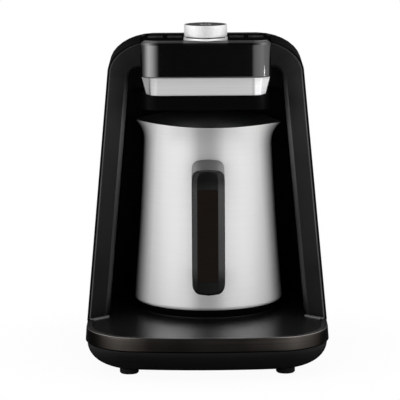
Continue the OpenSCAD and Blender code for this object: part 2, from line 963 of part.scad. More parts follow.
module wiring_harness() {
    trunk_x = -7.5;
    roof_z = 182;
    foam_z = hood_z + hood_t + 4.4;
    color("#2c2c30") {
        route([[trunk_x, 85, 62], [trunk_x, 79, 140], [trunk_x, 69, roof_z],
               [trunk_x, 40, roof_z], [trunk_x, 13, roof_z], [trunk_x, 6, 190],
               [trunk_x, 6, 198.6]], 4);
        route([[8, 72, foam_z - 1.8], [8, 40, foam_z - 1.4], [8, 16, foam_z]], 2.4);
    }
}

module heater_leads() {
    color("#8c3b2e")
        for (s = [-1, 1])
            route([[pot_x + s * 10, pot_y + 44.5, 21.4], [s * 10, 74, 21.4],
                   [s * 6 - 6, 77, 48]], 2.6);
}

// Knob --------------------------------------------------------------------

module encoder_rotor() {
    color("#c9b26a")
        translate([0, -knob_front, board_z + board_t + 1.9])
            difference() {
                cylinder(h = rotor_t, d = rotor_d);
                translate([0, 0, -1]) cylinder(h = rotor_t + 2, d = shaft_d + 2 * fit_gap);
            }
}

module encoder_shaft() {
    z0 = board_z + board_t + 1.7;
    color("#b8bbc0")
        translate([0, -knob_front, z0])
            cylinder(h = knob_z + 5 - z0, d = shaft_d);
}

module knob() {
    skirt_r = knob_d / 2;
    color("#cfd0d2")
        translate([0, -knob_front, knob_z])
            difference() {
                rotate_extrude()
                    polygon([[0, 0], [skirt_r - 0.3, 0], [skirt_r, 0.3],
                             [skirt_r, knob_top - knob_z - 0.25],
                             [skirt_r - 0.25, knob_top - knob_z],
                             [skirt_r - knob_rim, knob_top - knob_z],
                             [skirt_r - knob_rim, knob_top - knob_z - 0.8],
                             [0, knob_top - knob_z - 0.8]]);
                translate([0, 0, -1]) cylinder(h = 6, d = shaft_d);
                translate([0, 0, -1])
                    difference() {
                        cylinder(h = 4, r = skirt_r - 2);
                        cylinder(h = 4, d = shaft_d + 5);
                    }
            }
}

module knob_cap() {
    cap_r = knob_d / 2 - knob_rim - fit_gap;
    color("#8b8d90")
        translate([0, -knob_front, knob_top - 0.8])
            difference() {
                cylinder(h = 0.6, r = cap_r);
                translate([-0.4, 5, 0.3]) cube([0.8, 6.5, 1]);
            }
}

// Pot ---------------------------------------------------------------------

// Half section of the outer face of the pot, shrunk inwards by an inset
module pot_section(inset) {
    r_low = pot_r - inset;
    r_neck = neck_r - inset;
    union() {
        polygon([[0, pot_z + inset], [r_low, pot_z + inset], [r_neck, neck_z],
                 [r_neck, rim_z], [0, rim_z]]);
        difference() {
            translate([r_neck - eps, neck_z]) square([rim_r - neck_r + eps, rim_z - neck_z]);
            translate([neck_r + flare_r, neck_z]) circle(flare_r + inset, $fn = 180);
        }
    }
}

module spout(side, inset) {
    hull() {
        translate([side * (rim_r - 6), 0, rim_z - 10])
            cylinder(h = 1, r = 2.4 - inset * 0.4, $fn = 32);
        translate([side * (rim_r - 12), 0, rim_z - eps])
            cylinder(h = eps, r = 12 - inset, $fn = 32);
        translate([side * (rim_r + spout_out - 2), 0, rim_z - eps])
            cylinder(h = eps, r = 2 - inset, $fn = 32);
    }
}

module pot_shell() {
    color("#b9babb")
        translate([pot_x, pot_y, 0])
            difference() {
                union() {
                    rotate_extrude() pot_section(0);
                    for (s = [-1, 1]) spout(s, 0);
                }
                rotate_extrude()
                    difference() {
                        pot_section(pot_wall);
                        square([pot_r, pot_z + pot_floor]);
                    }
                translate([0, 0, 0.1]) for (s = [-1, 1]) spout(s, pot_wall);
                translate([0, 0, rim_z - 0.02]) cylinder(h = 5, r = neck_r);
            }
}

module pot_base() {
    color("#0d0d0e")
        translate([pot_x, pot_y, 0])
            rotate_extrude()
                polygon([[0, pot_base_z + 0.6], [guide_d, pot_base_z + 0.6],
                         [guide_d, pot_base_z], [pot_base_r, pot_base_z],
                         [pot_r - 1.2, pot_z], [0, pot_z]]);
}

// Side view of the D-shaped handle, x is Y from the pot axis, y is Z
module handle_side() {
    front = handle_front;
    back = handle_front - handle_t;
    top = handle_top;
    low = handle_bottom;
    r = handle_bend;
    difference() {
        union() {
            translate([-front + r, low + r]) square([front - r - 40, top - low - 2 * r]);
            translate([-front, low + r]) square([handle_t, top - low - 2 * r]);
            translate([-front + r, low]) square([front - r - 40, arm_t]);
            translate([-front + r, top - arm_t]) square([front - r - 40, arm_t]);
            for (z = [low + r, top - r]) translate([-front + r, z]) circle(r);
        }
        translate([-back + 4, low + arm_t + 4])
            square([back - 24, top - low - 2 * arm_t - 8]);
        translate([-back, low + arm_t + 8]) square([12, top - low - 2 * arm_t - 16]);
        for (z = [low + arm_t + 8, top - arm_t - 8]) translate([-back + 8, z]) circle(8);
        translate([-back + 8, low + arm_t]) square([back - 20, top - low - 2 * arm_t]);
    }
}

module pot_handle() {
    bevel = (handle_w - inlay_w) / 2;
    color("#111112")
        translate([pot_x, pot_y, 0])
            difference() {
                intersection() {
                    along_x(handle_w) handle_side();
                    along_y(-far / 4, 0)
                        translate([0, (handle_top + handle_bottom) / 2])
                            rounded(handle_w, handle_top - handle_bottom, 8);
                }
                for (s = [-1, 1])
                    translate([s * handle_w / 2, -handle_front, 0])
                        rotate([0, 0, 45])
                            cube([bevel * 1.3, bevel * 1.3, far], center = true);
                translate([0, 0, pot_z])
                    cylinder(h = neck_z - pot_z, r1 = pot_r + 0.02, r2 = neck_r + 0.02);
                translate([0, 0, handle_bottom - 20])
                    cylinder(h = far, r = neck_r + 0.02);
                translate([-inlay_w / 2, -handle_front - 1, inlay_low])
                    cube([inlay_w, inlay_t + 1, inlay_top - inlay_low]);
                translate([0, -64, handle_top - arm_t / 2])
                    rotate([90, 0, 0]) cylinder(h = far, d = screw_d - 0.4, center = true);
                translate([-bracket_w / 2, -64, handle_top - arm_t / 2 - 3])
                    cube([bracket_w, 30, 6]);
                translate([-bracket_w / 2, -64, handle_bottom + arm_t / 2 - 3])
                    cube([bracket_w, 30, 6]);
                translate([0, -64, handle_bottom + arm_t / 2])
                    rotate([90, 0, 0]) cylinder(h = far, d = screw_d - 0.4, center = true);
            }
}

module handle_inlay() {
    color("#1b1612")
        translate([pot_x - inlay_w / 2, pot_y - handle_front, inlay_low])
            cube([inlay_w, inlay_t, inlay_top - inlay_low]);
}

module handle_bracket() {
    color("#a4a6a8")
        translate([pot_x, pot_y, 0])
            for (z = [handle_top - arm_t / 2, handle_bottom + arm_t / 2])
                difference() {
                    translate([-bracket_w / 2, -64, z - 3]) cube([bracket_w, 30, 6]);
                    translate([0, 0, pot_z])
                        cylinder(h = neck_z - pot_z, r1 = pot_r + 0.02, r2 = neck_r + 0.02);
                    translate([0, -50, z]) rotate([90, 0, 0]) cylinder(h = 30, d = screw_d);
                }
}

module handle_screws() {
    color("#8f9296")
        translate([pot_x, pot_y, 0])
            for (z = [handle_top - arm_t / 2, handle_bottom + arm_t / 2])
                translate([0, -76, z]) rotate([-90, 0, 0]) cylinder(h = 22, d = screw_d - 0.4);
}

base_shell();
base_band();
base_deck();
rubber_feet();
base_screws();
heater_plate();
heater_seal();
heating_element();
heater_bracket();
thermal_fuse();
probe_guide();
front_frame();
tower_shell();
bay_liner();
rear_cover();
rear_screws();
cable_gland();
head_shell();
head_band();
head_hood();
hood_screws();
control_panel();
touch_windows();
indicator_leds();
control_board();
board_spacers();
encoder_body();
encoder_rotor();
encoder_shaft();
knob_ring();
buzzer();
foam_sensor_lens();
foam_sensor_board();
power_board();
power_spacers();
relay();
capacitor();
transformer();
terminal_block();
wiring_harness();
heater_leads();
knob();
knob_cap();
temperature_probe();
probe_spring();
pot_shell();
pot_base();
pot_handle();
handle_inlay();
handle_bracket();
handle_screws();
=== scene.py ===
"""Electric Turkish coffee maker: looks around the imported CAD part.

Row frame: X right, Y back, Z up, metres. The helpers take millimetres.
"""

import math

import bmesh
import bpy
from mathutils import Matrix, Vector


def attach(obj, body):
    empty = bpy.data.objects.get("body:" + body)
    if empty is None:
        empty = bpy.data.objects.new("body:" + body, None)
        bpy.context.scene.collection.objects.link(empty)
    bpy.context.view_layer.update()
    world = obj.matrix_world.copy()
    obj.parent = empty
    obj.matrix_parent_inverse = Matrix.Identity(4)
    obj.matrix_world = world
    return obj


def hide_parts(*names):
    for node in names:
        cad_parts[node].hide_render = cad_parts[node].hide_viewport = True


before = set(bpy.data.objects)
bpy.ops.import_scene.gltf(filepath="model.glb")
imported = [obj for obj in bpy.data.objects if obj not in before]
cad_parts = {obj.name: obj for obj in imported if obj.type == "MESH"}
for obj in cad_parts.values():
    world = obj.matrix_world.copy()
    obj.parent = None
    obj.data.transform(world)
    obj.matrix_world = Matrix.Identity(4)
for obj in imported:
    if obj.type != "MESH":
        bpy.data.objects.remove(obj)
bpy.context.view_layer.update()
MM = 0.001

# Main sizes in millimetres, as in the CAD source
DECK_Z = 28.3
TOWER_H = 212.0
TOWER_W = 158.4
SIDE_LEAN = math.radians(5.0)
FRONT_LEAN = math.radians(8.9)
FRAME_FRONT = 40.8
FRAME_BACK = 24.0
FRAME_W = 14.2
BAY_TOP = 191.3
BAY_R = 6.0
CROWN_W = 33.0
CROWN_H = 22.0
CROWN_N = 1.92
SIDE_LINE = TOWER_W / 2 * math.cos(SIDE_LEAN) + DECK_Z * math.sin(SIDE_LEAN)
NOTCH_X = 43.2
NOTCH_BACK = 20.2
HEAD_W = 86.0
HEAD_FRONT = 29.5
HEAD_R = 13.0
HEAD_Z = 187.7
HEAD_BACK = 20.0
BAND_Z = 175.7
BAND_IN = 3.6
KNOB_R = 14.2
POT_X = 1.1
POT_Y = 9.0
POT_Z = 34.0
POT_R = 50.0
NECK_R = 43.6
NECK_Z = 139.0
RIM_Z = 155.6
BASE_W = 159.0
BASE_D = 211.0
BASE_FRONT_R = 44.0
BASE_REAR_R = 30.0
BOW_R = 309.0
GROOVE_Z = 19.6
FOOT_H = 4.6
BAND_LIP = 0.55           # how far the edge band stands above the deck
BAND_LIP_W = 5.0

GRAIN_DEPTH = 0.00002     # metres
QUARTER = math.pi / 2


# ------------------------------------------------- materials

def new_material(name):
    mat = bpy.data.materials.new(name)
    mat.use_nodes = True
    return mat, mat.node_tree, mat.node_tree.nodes["Principled BSDF"]


def add(tree, kind):
    return tree.nodes.new("ShaderNode" + kind)


def feed(tree, value, socket):
    """Links an output to an input, or sets the input to a constant."""
    if isinstance(value, bpy.types.NodeSocket):
        tree.links.new(value, socket)
    else:
        socket.default_value = value


def calc(tree, operation, a, b):
    node = add(tree, "Math")
    node.operation = operation
    feed(tree, a, node.inputs[0])
    feed(tree, b, node.inputs[1])
    return node.outputs[0]


def times(tree, a, b):
    return calc(tree, "MULTIPLY", a, b)


def place(tree, source="Object"):
    """X, Y and Z of the place that is shaded, or for Generated in a world of the direction."""
    coord = add(tree, "TexCoord")
    split = add(tree, "SeparateXYZ")
    feed(tree, coord.outputs[source], split.inputs["Vector"])
    return split.outputs


def noise(tree, scale, detail=3.0):
    """Noise over object coordinates in metres, with a scale along each axis."""
    coord = add(tree, "TexCoord")
    mapping = add(tree, "Mapping")
    mapping.inputs["Scale"].default_value = scale
    tex = add(tree, "TexNoise")
    tex.inputs["Scale"].default_value = 1.0
    tex.inputs["Detail"].default_value = detail
    feed(tree, coord.outputs["Object"], mapping.inputs["Vector"])
    feed(tree, mapping.outputs["Vector"], tex.inputs["Vector"])
    return tex.outputs["Fac"]


def ramp(tree, value, low, high, out_low=0.0, out_high=1.0, kind="SMOOTHSTEP"):
    """Maps a value between low and high onto out_low to out_high."""
    node = add(tree, "MapRange")
    node.interpolation_type = kind
    node.inputs["From Min"].default_value = low
    node.inputs["From Max"].default_value = high
    node.inputs["To Min"].default_value = out_low
    node.inputs["To Max"].default_value = out_high
    feed(tree, value, node.inputs["Value"])
    return node.outputs["Result"]


def spread(tree, value, low, high):
    """Maps noise, which lies mostly between 0.3 and 0.7, onto low to high."""
    return ramp(tree, value, 0.3, 0.7, low, high, "LINEAR")


def mixed(tree, factor, first, second, kind="MIX"):
    """Mix of two colours, each of them an output or three numbers."""
    node = add(tree, "Mix")
    node.data_type = "RGBA"
    node.blend_type = kind
    feed(tree, factor, node.inputs["Factor"])
    for socket, colour in (("A", first), ("B", second)):
        feed(tree, (*colour, 1) if isinstance(colour, tuple) else colour, node.inputs[socket])
    return node.outputs["Result"]


def mixed_shaders(tree, factor, first, second):
    node = add(tree, "MixShader")
    for socket, output in zip(node.inputs, (factor, first, second)):
        feed(tree, output, socket)
    return node.outputs[0]


def ray_kinds(tree, *names):
    """One factor that is 1 for any of the named kinds of ray."""
    path = add(tree, "LightPath")
    value = path.outputs[names[0]]
    for name in names[1:]:
        value = calc(tree, "MAXIMUM", value, path.outputs[name])
    return value


def stops(tree, value, levels):
    """Grey level at several places of a value from 0 to 1, straight between them."""
    node = add(tree, "ValToRGB")
    band = node.color_ramp
    for at, _ in levels[1:-1]:
        band.elements.new(at)
    for element, (at, grey) in zip(band.elements, levels):
        element.position = at
        element.color = (grey, grey, grey, 1)
    feed(tree, value, node.inputs["Fac"])
    return node.outputs["Color"]


def by_slope(levels):
    """Shade that changes from surfaces that face the viewer (0) to edge-on ones (1)."""
    def shade(tree):
        slope = add(tree, "LayerWeight")
        slope.inputs["Blend"].default_value = 0.5
        return stops(tree, slope.outputs["Facing"], levels)
    return shade


def by_place(axis, low, high, levels, mirrored=False):
    """Shade that changes along an axis of the object, from low to high in millimetres."""
    def shade(tree):
        value = place(tree)[axis]
        if mirrored:
            value = calc(tree, "ABSOLUTE", value, 0.0)
        share = calc(tree, "SUBTRACT", value, low * MM)
        return stops(tree, calc(tree, "DIVIDE", share, (high - low) * MM), levels)
    return shade


def surface(name, colour, rough, metallic=0.0, level=0.5, vary=0.12, rough_vary=0.04,
            broad=(25, 25, 25), fine=(1800, 1800, 1800), bump=0.05, ior=1.5, tint=1.0,
            shades=(), glosses=()):
    """A moulded, painted or brushed surface: two close tones, uneven gloss and a fine grain.

    Each of the shades paints light and shade into the colour: a level that the colour is multiplied
    with.
    The glosses do the same to the strength of the gloss.
    """
    mat, tree, shader = new_material(name)
    shader.inputs["Metallic"].default_value = metallic
    shader.inputs["Specular IOR Level"].default_value = level
    shader.inputs["Specular Tint"].default_value = (tint, tint, tint, 1)
    shader.inputs["IOR"].default_value = ior
    wide = noise(tree, broad)
    grain = noise(tree, fine, 2.0)
    dark = tuple(c * (1 - vary) for c in colour)
    light = tuple(min(1.0, c * (1 + vary)) for c in colour)
    tone = mixed(tree, spread(tree, wide, 0, 1), dark, light)
    for shade in shades:
        tone = mixed(tree, 1.0, tone, shade(tree), "MULTIPLY")
    feed(tree, tone, shader.inputs["Base Color"])
    gloss = level
    for shade in glosses:
        gloss = times(tree, shade(tree), gloss)
    feed(tree, gloss, shader.inputs["Specular IOR Level"])
    feed(tree, spread(tree, grain, rough - rough_vary, rough + rough_vary), shader.inputs["Roughness"])
    relief = add(tree, "Bump")
    relief.inputs["Strength"].default_value = bump
    relief.inputs["Distance"].default_value = GRAIN_DEPTH
    feed(tree, grain, relief.inputs["Height"])
    feed(tree, relief.outputs["Normal"], shader.inputs["Normal"])
    return mat


# Scale of the noise in brushed metal, whose fine lines run level
BRUSHED = (60, 60, 6000)
# The tables below hold pairs of a place from 0 to 1 and the level there.
# The gloss of the head is strongest just inside its corners, and its top edge
# shines at the corners and in front of the knob
HEAD_GLOSS = [(0, 0.12), (0.02, 0.1), (0.035, 0.4), (0.05, 0.85), (0.065, 1.15), (0.15, 1.1),
              (0.24, 0.8), (0.8, 0.8), (0.86, 0.95), (0.92, 0.6), (0.95, 0.46), (1, 0.47)]
LACQUER = dict(colour=(0.001, 0.001, 0.0011), level=0.8, ior=1.9, rough_vary=0.02, bump=0.01)
GLOSS_BLACK = surface("gloss_black", rough=0.11, **LACQUER,
                      glosses=[by_place("X", -HEAD_W / 2, HEAD_W / 2, HEAD_GLOSS)])
LIP_GLOSS = [(0, 0.25), (0.32, 0.4), (0.36, 0.09), (0.72, 0.12), (0.8, 0.35), (0.88, 0.8),
             (0.95, 0.5), (1, 0.1)]
LIP_BLACK = surface("lip_black", rough=0.2, **LACQUER,
                    glosses=[by_place("X", 0, HEAD_W / 2, LIP_GLOSS, mirrored=True)])
HOOD_BLACK = surface("hood_black", (0.0015, 0.0015, 0.0016), 0.45, level=0.03)
# The arch's face is painted nearly black towards the deck and lighter at the top: painted shade and
# light
SATIN_BLACK = surface("satin_black", (0.017, 0.0167, 0.0164), 0.46, level=0.18, bump=0.12,
                      shades=[by_place("Z", 30, 190, [(0, 0.02), (0.5, 0.22), (0.8, 0.66), (1, 1.15)])])
EDGE_BLACK = surface("edge_black", (0.02, 0.0195, 0.019), 0.34, level=0.8, bump=0.05)
# The arch's outer rim is a darker, duller copy of its face: painted shade
RIM_BLACK = surface("rim_black", (0.0025, 0.0025, 0.0025), 0.5, level=0.04, bump=0.05)
# Light grey of the strips at the arms' feet: a painted highlight along the foot edge
FOOT_HIGHLIGHT_GREY = surface("foot_highlight_grey", (0.15, 0.15, 0.15), 0.35, metallic=0.5, bump=0.05)
BAY_BLACK = surface("bay_black", (0.0025, 0.0025, 0.0027), 0.6, level=0.2, bump=0.1)
# The back is painted darker towards the crown, a painted shade, and loses its gloss there
CROWN_SHADE = [(0, 1), (0.5, 0.8), (0.75, 0.3), (1, 0.15)]
CROWN_GLOSS = [(0, 1), (0.6, 0.6), (0.85, 0.12), (1, 0.02)]
BACK_BLACK = surface("back_black", (0.012, 0.0116, 0.011), 0.5, level=0.06, bump=0.15,
                     shades=[by_place("Z", 150, TOWER_H, CROWN_SHADE)],
                     glosses=[by_place("Z", 150, TOWER_H, CROWN_GLOSS)])
# The deck shines less in the middle, under the handle
DECK_GLOSS = [(0, 0.3), (0.05, 0.35), (0.1, 0.65), (0.16, 1.55), (0.22, 1.53), (0.3, 0.93),
              (0.39, 0.34), (0.5, 0.11), (0.59, 0.2), (0.7, 0.6), (0.81, 0.95), (0.92, 0.85),
              (1, 0.75)]
DECK_DEPTH = [(0, 0.5), (0.25, 0.8), (0.6, 1), (1, 1)]
DECK_BLACK = surface("deck_black", (0.006, 0.0058, 0.0056), 0.28, level=0.6, rough_vary=0.03,
                     bump=0.03, glosses=[by_place("X", -45, 45, DECK_GLOSS),
                                         by_place("Y", -BASE_D / 2, -60, DECK_DEPTH)])
SHELL_GLOSS = [(0, 0.25), (0.5, 0.2), (0.75, 0.4), (1, 1.2)]
SHELL_BLACK = surface("shell_black", (0.003, 0.0029, 0.0028), 0.4, level=0.12, bump=0.05,
                      glosses=[by_place("Z", 4, 20, SHELL_GLOSS),
                               by_slope([(0, 1), (0.35, 1), (0.6, 0.3), (0.85, 0)])])
# The band is painted light near its corners only and lighter at the top than at the bottom: painted
# highlights and shade
BAND_LEVELS = [(0.02, 0.03), (0.04, 0.16), (0.06, 0.28), (0.106, 0.7), (0.18, 0.9), (0.22, 0.6),
               (0.265, 0.26), (0.39, 0.2), (0.5, 0.31), (0.64, 0.27), (0.76, 0.48), (0.84, 1.08),
               (0.91, 0.8), (0.95, 0.6), (0.975, 0.25), (0.99, 0.03)]
# The band's top edge is a lighter copy of its metal, painted bright near the corners and dark in the
# middle: a painted highlight
EDGE_LEVELS = [(0.01, 0.02), (0.04, 0.4), (0.09, 1.0), (0.17, 0.7), (0.24, 0.12), (0.5, 0.045),
               (0.74, 0.1), (0.83, 0.8), (0.9, 1.0), (0.96, 0.6), (0.99, 0.02)]
BAND_UP = [(0, 0.7), (0.5, 0.9), (1, 1.3)]
BAND_BROWN = surface("band_brown", (0.066, 0.058, 0.052), 0.38, metallic=0.95, vary=0.25,
                     rough_vary=0.08, broad=(12, 12, 2500), fine=BRUSHED, bump=0.15, tint=0.15,
                     shades=[by_place("X", -BASE_W / 2, BASE_W / 2, BAND_LEVELS),
                             by_place("Z", GROOVE_Z, DECK_Z + BAND_LIP, BAND_UP)])
BAND_EDGE = surface("band_edge", (0.42, 0.405, 0.39), 0.3, metallic=1.0, bump=0.03,
                    shades=[by_place("X", -BASE_W / 2, BASE_W / 2, EDGE_LEVELS)])
RUBBER = surface("rubber", (0.0075, 0.0075, 0.0075), 0.75, level=0.15, bump=0.3)
# The band is painted with dark lines where the facets of its corners meet, darker at its left end and
# at its top, and light at its right corner: painted shade and a painted highlight
SILVER_LEVELS = [(0, 0.72), (0.05, 0.95), (0.07, 0.9), (0.08, 0.35), (0.094, 0.8), (0.125, 0.95),
                 (0.84, 0.93), (0.857, 0.7), (0.87, 1.3), (1, 1.38)]
SILVER_BAND = surface("silver_band", (0.71, 0.71, 0.715), 0.38, metallic=0.5, vary=0.04,
                      rough_vary=0.06, broad=(20, 20, 1500), fine=BRUSHED, bump=0.08,
                      shades=[by_place("X", -44, 44, SILVER_LEVELS),
                              by_place("Z", BAND_Z, HEAD_Z, [(0, 1), (0.55, 1), (1, 0.87)])])
# A brighter copy of the silver for the right corner facets: a painted highlight
SILVER_PAINTED_HIGHLIGHT = surface("silver_painted_highlight", (0.97, 0.97, 0.97), 0.3, metallic=0.2, vary=0.02,
                        rough_vary=0.05, broad=(20, 20, 1500), fine=BRUSHED, bump=0.05)
# The jug is painted dark where it turns away, with a darker stripe down its middle,
# and a little darker at the top than at its foot: painted shade
JUG_TURN = [(0.0, 1.0), (0.2, 1.0), (0.3, 1.08), (0.4, 1.14), (0.5, 0.97), (0.6, 0.74), (0.7, 0.56),
            (0.84, 0.24), (0.94, 0.04)]
JUG_ACROSS = [(0, 0.78), (0.34, 0.775), (0.38, 0.72), (0.413, 0.6), (0.446, 0.48), (0.49, 0.47),
              (0.52, 0.48), (0.55, 0.54), (0.58, 0.64), (0.615, 0.77), (0.65, 0.82), (0.72, 0.87),
              (1, 0.87)]
JUG_UP = [(0, 1.22), (0.2, 1.17), (0.57, 1.09), (0.86, 1.0), (1, 1.0)]
POT_STEEL = surface("pot_steel", (0.95, 0.95, 0.945), 0.46, metallic=0.15, vary=0.012,
                    rough_vary=0.02, broad=(20, 20, 900), fine=BRUSHED, bump=0.04,
                    shades=[by_slope(JUG_TURN), by_place("X", POT_X - POT_R, POT_X + POT_R, JUG_ACROSS),
                            by_place("Z", POT_Z, RIM_Z, JUG_UP)])
# The same steel, painted much darker inside the jug and on the far side of its rim: painted shade
POT_INSIDE_SHADE = surface("pot_inside_shade", (0.21, 0.22, 0.215), 0.5, metallic=1.0, vary=0.1,
                     rough_vary=0.05, broad=(20, 20, 900), fine=BRUSHED, bump=0.1)
# The knob's side is painted darker in the middle and lighter on its right: painted shade and light
KNOB_ACROSS = [(0, 1), (0.3, 0.93), (0.5, 0.84), (0.7, 0.98), (0.85, 1.12), (1, 1.1)]
KNOB_SILVER = surface("knob_silver", (0.85, 0.85, 0.855), 0.42, metallic=0.4, vary=0.05,
                      rough_vary=0.08, broad=(900, 900, 900), fine=(2500, 2500, 300), bump=0.2,
                      shades=[by_place("X", -KNOB_R, KNOB_R, KNOB_ACROSS)])
KNOB_CAP = surface("knob_cap", (0.037, 0.037, 0.039), 0.4, metallic=0.7, vary=0.1,
                   broad=(40, 40, 40), fine=(3000, 3000, 3000), bump=0.1)
CHROME = surface("chrome", (0.95, 0.95, 0.955), 0.35, metallic=0.4, vary=0.02, rough_vary=0.02,
                 bump=0.01)
HANDLE_GLOSS = [(0, 0.2), (0.14, 0.25), (0.24, 1), (0.82, 1), (0.9, 0.45), (1, 0.45)]
HANDLE_SIDES = [(0, 0.82), (0.3, 0.85), (0.7, 1.2), (1, 1.3)]
HANDLE_BLACK = surface("handle_black", (0.003, 0.0029, 0.0028), 0.28, level=0.44, bump=0.1,
                       glosses=[by_place("Z", 50, 136, HANDLE_GLOSS),
                                by_place("X", POT_X - 11, POT_X + 11, HANDLE_SIDES)])
HANDLE_BROWN = surface("handle_brown", (0.0058, 0.0034, 0.0022), 0.42, level=0.08, vary=0.2,
                       broad=(60, 60, 500), bump=0.1)
STEEL = surface("steel", (0.6, 0.6, 0.61), 0.35, metallic=1.0, rough_vary=0.08)
DARK_STEEL = surface("dark_steel", (0.05, 0.05, 0.052), 0.45, metallic=0.8, rough_vary=0.08)
HEATER = surface("heater", (0.03, 0.03, 0.031), 0.45, metallic=0.6, broad=(200, 200, 200))
LENS = surface("lens", (0.01, 0.012, 0.016), 0.08, level=0.6, bump=0.01)
MARK_GREY = surface("mark_grey", (0.6, 0.6, 0.6), 0.5, metallic=0.3)
BOARD = surface("board", (0.02, 0.12, 0.06), 0.4, vary=0.3, broad=(400, 400, 400))
NATURAL = surface("natural", (0.6, 0.58, 0.52), 0.5)
BRASS = surface("brass", (0.6, 0.45, 0.18), 0.3, metallic=1.0, rough_vary=0.08)
RELAY_BLUE = surface("relay_blue", (0.02, 0.09, 0.36), 0.35)
WINDING = surface("winding", (0.5, 0.36, 0.05), 0.5, vary=0.25, broad=(300, 300, 2000))
TERMINAL = surface("terminal", (0.04, 0.24, 0.09), 0.45)
WIRE_DARK = surface("wire_dark", (0.02, 0.02, 0.022), 0.5)
WIRE_RED = surface("wire_red", (0.25, 0.04, 0.025), 0.5)


def inner_edge_highlight_material():
    """Rounded edge of the arms towards the bay, with a painted highlight from half way up."""
    mat, tree, shader = new_material("inner_edge_highlight")
    shader.inputs["Roughness"].default_value = 0.4
    shader.inputs["Specular IOR Level"].default_value = 0.4
    z = place(tree)["Z"]
    height = times(tree, ramp(tree, z, 0.085, 0.165), ramp(tree, z, 0.17, 0.187, 1.0, 0.0))
    light = times(tree, height, spread(tree, noise(tree, (900, 900, 60)), 0.9, 1.0))
    feed(tree, mixed(tree, light, (0.012, 0.0118, 0.0115), (0.085, 0.084, 0.083)),
         shader.inputs["Base Color"])
    return mat


MARK_PITCH = 0.0016       # metres from the middle of a stroke to the middle of the next gap
MARK_GAP = 0.0007         # half the width of a gap


def window_material():
    """Smoked panel window with worn strokes, which name nothing."""
    mat, tree, shader = new_material("touch_window")
    shader.inputs["Specular IOR Level"].default_value = 0.02
    wave = calc(tree, "PINGPONG", place(tree)["Y"], MARK_PITCH)
    lines = calc(tree, "GREATER_THAN", wave, MARK_GAP)
    patch = noise(tree, (260, 90, 1), 1.0)
    marks = times(tree, lines, spread(tree, patch, -0.4, 1.5))
    marks.node.use_clamp = True
    feed(tree, mixed(tree, marks, (0.004, 0.004, 0.0042), (0.031, 0.031, 0.032)),
         shader.inputs["Base Color"])
    feed(tree, spread(tree, patch, 0.42, 0.5), shader.inputs["Roughness"])
    return mat


WINDOW = window_material()
INNER_EDGE_HIGHLIGHT = inner_edge_highlight_material()
# The panel is dull but for the place before the knob, which mirrors the knob
MIRROR_ACROSS = [(0, 0), (0.03, 0), (0.08, 1), (0.92, 1), (0.97, 0), (1, 0)]
MIRROR_BACK = [(0, 1), (0.7, 1), (0.9, 0), (1, 0)]
PANEL = surface("panel", (0.003, 0.003, 0.0032), 0.08, level=0.65, rough_vary=0.01, bump=0.0,
                glosses=[by_place("X", -16, 16, MIRROR_ACROSS),
                         by_place("Y", -28, -12, MIRROR_BACK)])

# Looks of the CAD nodes that keep their own shape
LOOKS = [
    (DECK_BLACK, "base_deck"),
    (RUBBER, "rubber_feet heater_seal cable_gland"),
    (STEEL, "base_screws heating_element heater_bracket encoder_shaft temperature_probe"
            " probe_spring handle_bracket handle_screws"),
    (HEATER, "heater_plate"),
    (NATURAL, "thermal_fuse probe_guide indicator_leds board_spacers power_spacers"),
    (BACK_BLACK, "tower_shell rear_cover"),
    (BAY_BLACK, "bay_liner"),
    (DARK_STEEL, "rear_screws hood_screws encoder_body"),
    (HOOD_BLACK, "head_hood"),
    (PANEL, "control_panel"),
    (WINDOW, "touch_windows"),
    (BOARD, "control_board foam_sensor_board power_board"),
    (BRASS, "encoder_rotor"),
    (CHROME, "knob_ring"),
    (WIRE_DARK, "buzzer capacitor wiring_harness"),
    (LENS, "foam_sensor_lens"),
    (RELAY_BLUE, "relay"),
    (WINDING, "transformer"),
    (TERMINAL, "terminal_block"),
    (WIRE_RED, "heater_leads"),
    (SHELL_BLACK, "pot_base"),
]
for look, nodes in LOOKS:
    for node in nodes.split():
        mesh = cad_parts[node].data
        mesh.materials.clear()
        mesh.materials.append(look)


# ---------------------------------------------- mesh helpers

def new_mesh(name, skin):
    """Mesh from a skin: points in millimetres, and faces."""
    points, faces = skin
    mesh = bpy.data.meshes.new(name)
    mesh.from_pydata([tuple(c * MM for c in p) for p in points], [], faces)
    return mesh


def new_object(name, data):
    obj = bpy.data.objects.new(name, data)
    bpy.context.scene.collection.objects.link(obj)
    return obj


def add_piece(name, skin, materials, body, replaced, crease=40.0, picked=None):
    """One piece, smooth except along edges above crease degrees.

    With several materials, picked(middle, normal) tells which of them a face takes.
    """
    mesh = new_mesh(name, skin)
    bm = bmesh.new()
    bm.from_mesh(mesh)
    bmesh.ops.remove_doubles(bm, verts=bm.verts, dist=1e-7)
    bmesh.ops.recalc_face_normals(bm, faces=bm.faces)
    bm.to_mesh(mesh)
    bm.free()
    mesh.shade_smooth()
    mesh.set_sharp_from_angle(angle=math.radians(crease))
    for material in materials:
        mesh.materials.append(material)
    if picked:
        for face in mesh.polygons:
            face.material_index = int(picked(face.center / MM, face.normal))
    obj = new_object(name, mesh)
    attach(obj, body)
    if replaced:
        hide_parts(*replaced)
    flat = obj.modifiers.new("normals", "WEIGHTED_NORMAL")
    flat.keep_sharp = True
    return obj


def loft(rings, closed=True, cap_first=False, cap_last=False):
    """Points and faces of a skin through rings that all have the same number of points."""
    n = len(rings[0])
    points = [p for ring in rings for p in ring]
    faces = []
    for k in range(len(rings) - 1):
        for j in range(n if closed else n - 1):
            a, b = k * n + j, k * n + (j + 1) % n
            faces.append((a, b, b + n, a + n))
    if cap_first:
        faces.append(tuple(range(n)))
    if cap_last:
        faces.append(tuple(range((len(rings) - 1) * n, len(rings) * n)))
    return points, faces


def joined(parts):
    points, faces = [], []
    for p, f in parts:
        faces += [tuple(i + len(points) for i in face) for face in f]
        points += p
    return points, faces


